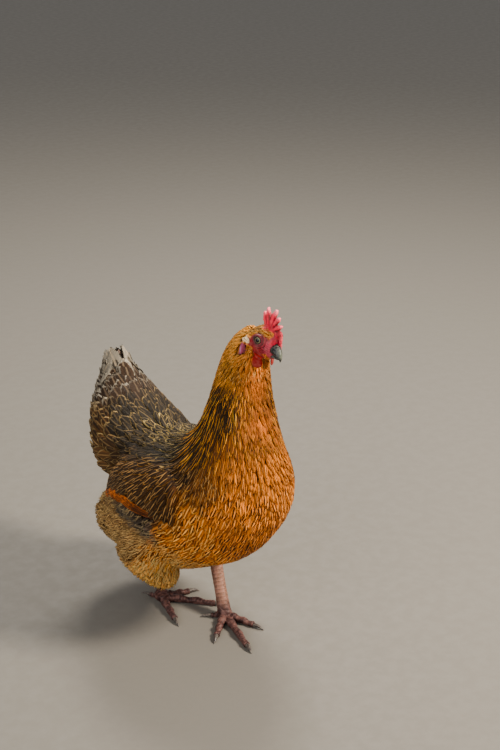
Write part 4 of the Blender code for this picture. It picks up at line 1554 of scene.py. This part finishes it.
class HEN_OT_stage(bpy.types.Operator):
    """Warm grey floor, soft lights and the camera"""
    bl_idname = "hen.stage"
    bl_label = "Stage"

    def execute(self, context):
        st = context.scene.hen_stage
        half = st.floor / 2
        corners = ((-half, -half, 0), (half, -half, 0), (half, half, 0), (-half, half, 0))
        mesh = mesh_of(corners, [(0, 1, 2, 3)], "floor")
        m = Nodes("floor_matt")
        grain = m.noise(m.where(), 60.0, 4.0)
        colour = m.mix(m.ramp(grain, 0.35, 0.65, 0.0, 0.12), rgb(st.floor_colour),
                       rgb([v * 0.86 for v in st.floor_colour]))
        m.set(Base_Color=colour, Roughness=m.ramp(grain, 0.3, 0.7, 0.7, 0.85))
        m.bump(grain, 0.06, 0.001)
        show("floor", mesh, m.finish)
        for name, spot, aim, size, power, tint in (
                ("key", (0.95, -1.15, 1.4), (0, 0, 0.2), 0.4, st.key, (1.0, 0.93, 0.82)),
                ("fill", (-1.7, -0.6, 0.9), (0, 0, 0.2), 1.4, st.fill, (0.95, 0.97, 1.0)),
                ("rim", (0.8, 0.9, 1.6), (0, 0, 0.25), 0.5, st.fill * 1.5, (1.0, 0.96, 0.88))):
            lamp = bpy.data.lights.new(name, "AREA")
            lamp.energy, lamp.size, lamp.color = power, size, tint
            obj = bpy.data.objects.new(name, lamp)
            obj.location = spot
            obj.rotation_euler = (Vector(aim) - Vector(spot)).to_track_quat("-Z", "Y").to_euler()
            context.scene.collection.objects.link(obj)
        world = bpy.data.worlds.new("studio")
        world.use_nodes = True
        back = world.node_tree.nodes["Background"]
        back.inputs[0].default_value = (0.93, 0.96, 1.0, 1)
        back.inputs[1].default_value = st.sky
        context.scene.world = world
        eye = bpy.data.cameras.new("camera")
        eye.sensor_fit, eye.sensor_height, eye.sensor_width, eye.lens = "VERTICAL", 36.0, 24.0, st.lens
        obj = bpy.data.objects.new("camera", eye)
        obj.location = st.camera
        gaze = (Vector(st.aim) - Vector(st.camera)).to_track_quat("-Z", "Y")
        obj.rotation_euler = (gaze @ Quaternion((0, 0, 1), st.roll)).to_euler()
        context.scene.collection.objects.link(obj)
        context.scene.camera = obj
        return {"FINISHED"}


STEPS = (HEN_OT_skin, HEN_OT_eyes, HEN_OT_bill, HEN_OT_claws, HEN_OT_crown, HEN_OT_bristles, HEN_OT_neck,
         HEN_OT_breast, HEN_OT_breast_fringe, HEN_OT_back, HEN_OT_blades, HEN_OT_wings, HEN_OT_saddle,
         HEN_OT_coverts, HEN_OT_tail, HEN_OT_fluff, HEN_OT_thighs, HEN_OT_fluff_fringe, HEN_OT_stage)


class HEN_PT_panel(bpy.types.Panel):
    """Lists the hen's pieces, sizes and colours"""
    bl_label = "Laced hen"
    bl_idname = "HEN_PT_panel"
    bl_space_type = "VIEW_3D"
    bl_region_type = "UI"
    bl_category = "Hen"

    def draw(self, context):
        for step in STEPS:
            self.layout.operator(step.bl_idname)
        for group in (context.scene.hen_sizes, context.scene.hen_colours, context.scene.hen_stage):
            box = self.layout.box()
            for key in group.bl_rna.properties.keys():
                if key not in ("rna_type", "name"):
                    box.prop(group, key)


CLASSES = (HEN_PG_colours, HEN_PG_sizes, HEN_PG_stage) + STEPS + (HEN_PT_panel,)


def register():
    for cls in CLASSES:
        bpy.utils.register_class(cls)
    bpy.types.Scene.hen_colours = PointerProperty(type=HEN_PG_colours)
    bpy.types.Scene.hen_sizes = PointerProperty(type=HEN_PG_sizes)
    bpy.types.Scene.hen_stage = PointerProperty(type=HEN_PG_stage)


def unregister():
    del bpy.types.Scene.hen_stage
    del bpy.types.Scene.hen_sizes
    del bpy.types.Scene.hen_colours
    for cls in reversed(CLASSES):
        bpy.utils.unregister_class(cls)


def main():
    register()
    for step in STEPS:
        group, name = step.bl_idname.split(".")
        getattr(getattr(bpy.ops, group), name)()


if __name__ == "__main__":
    main()
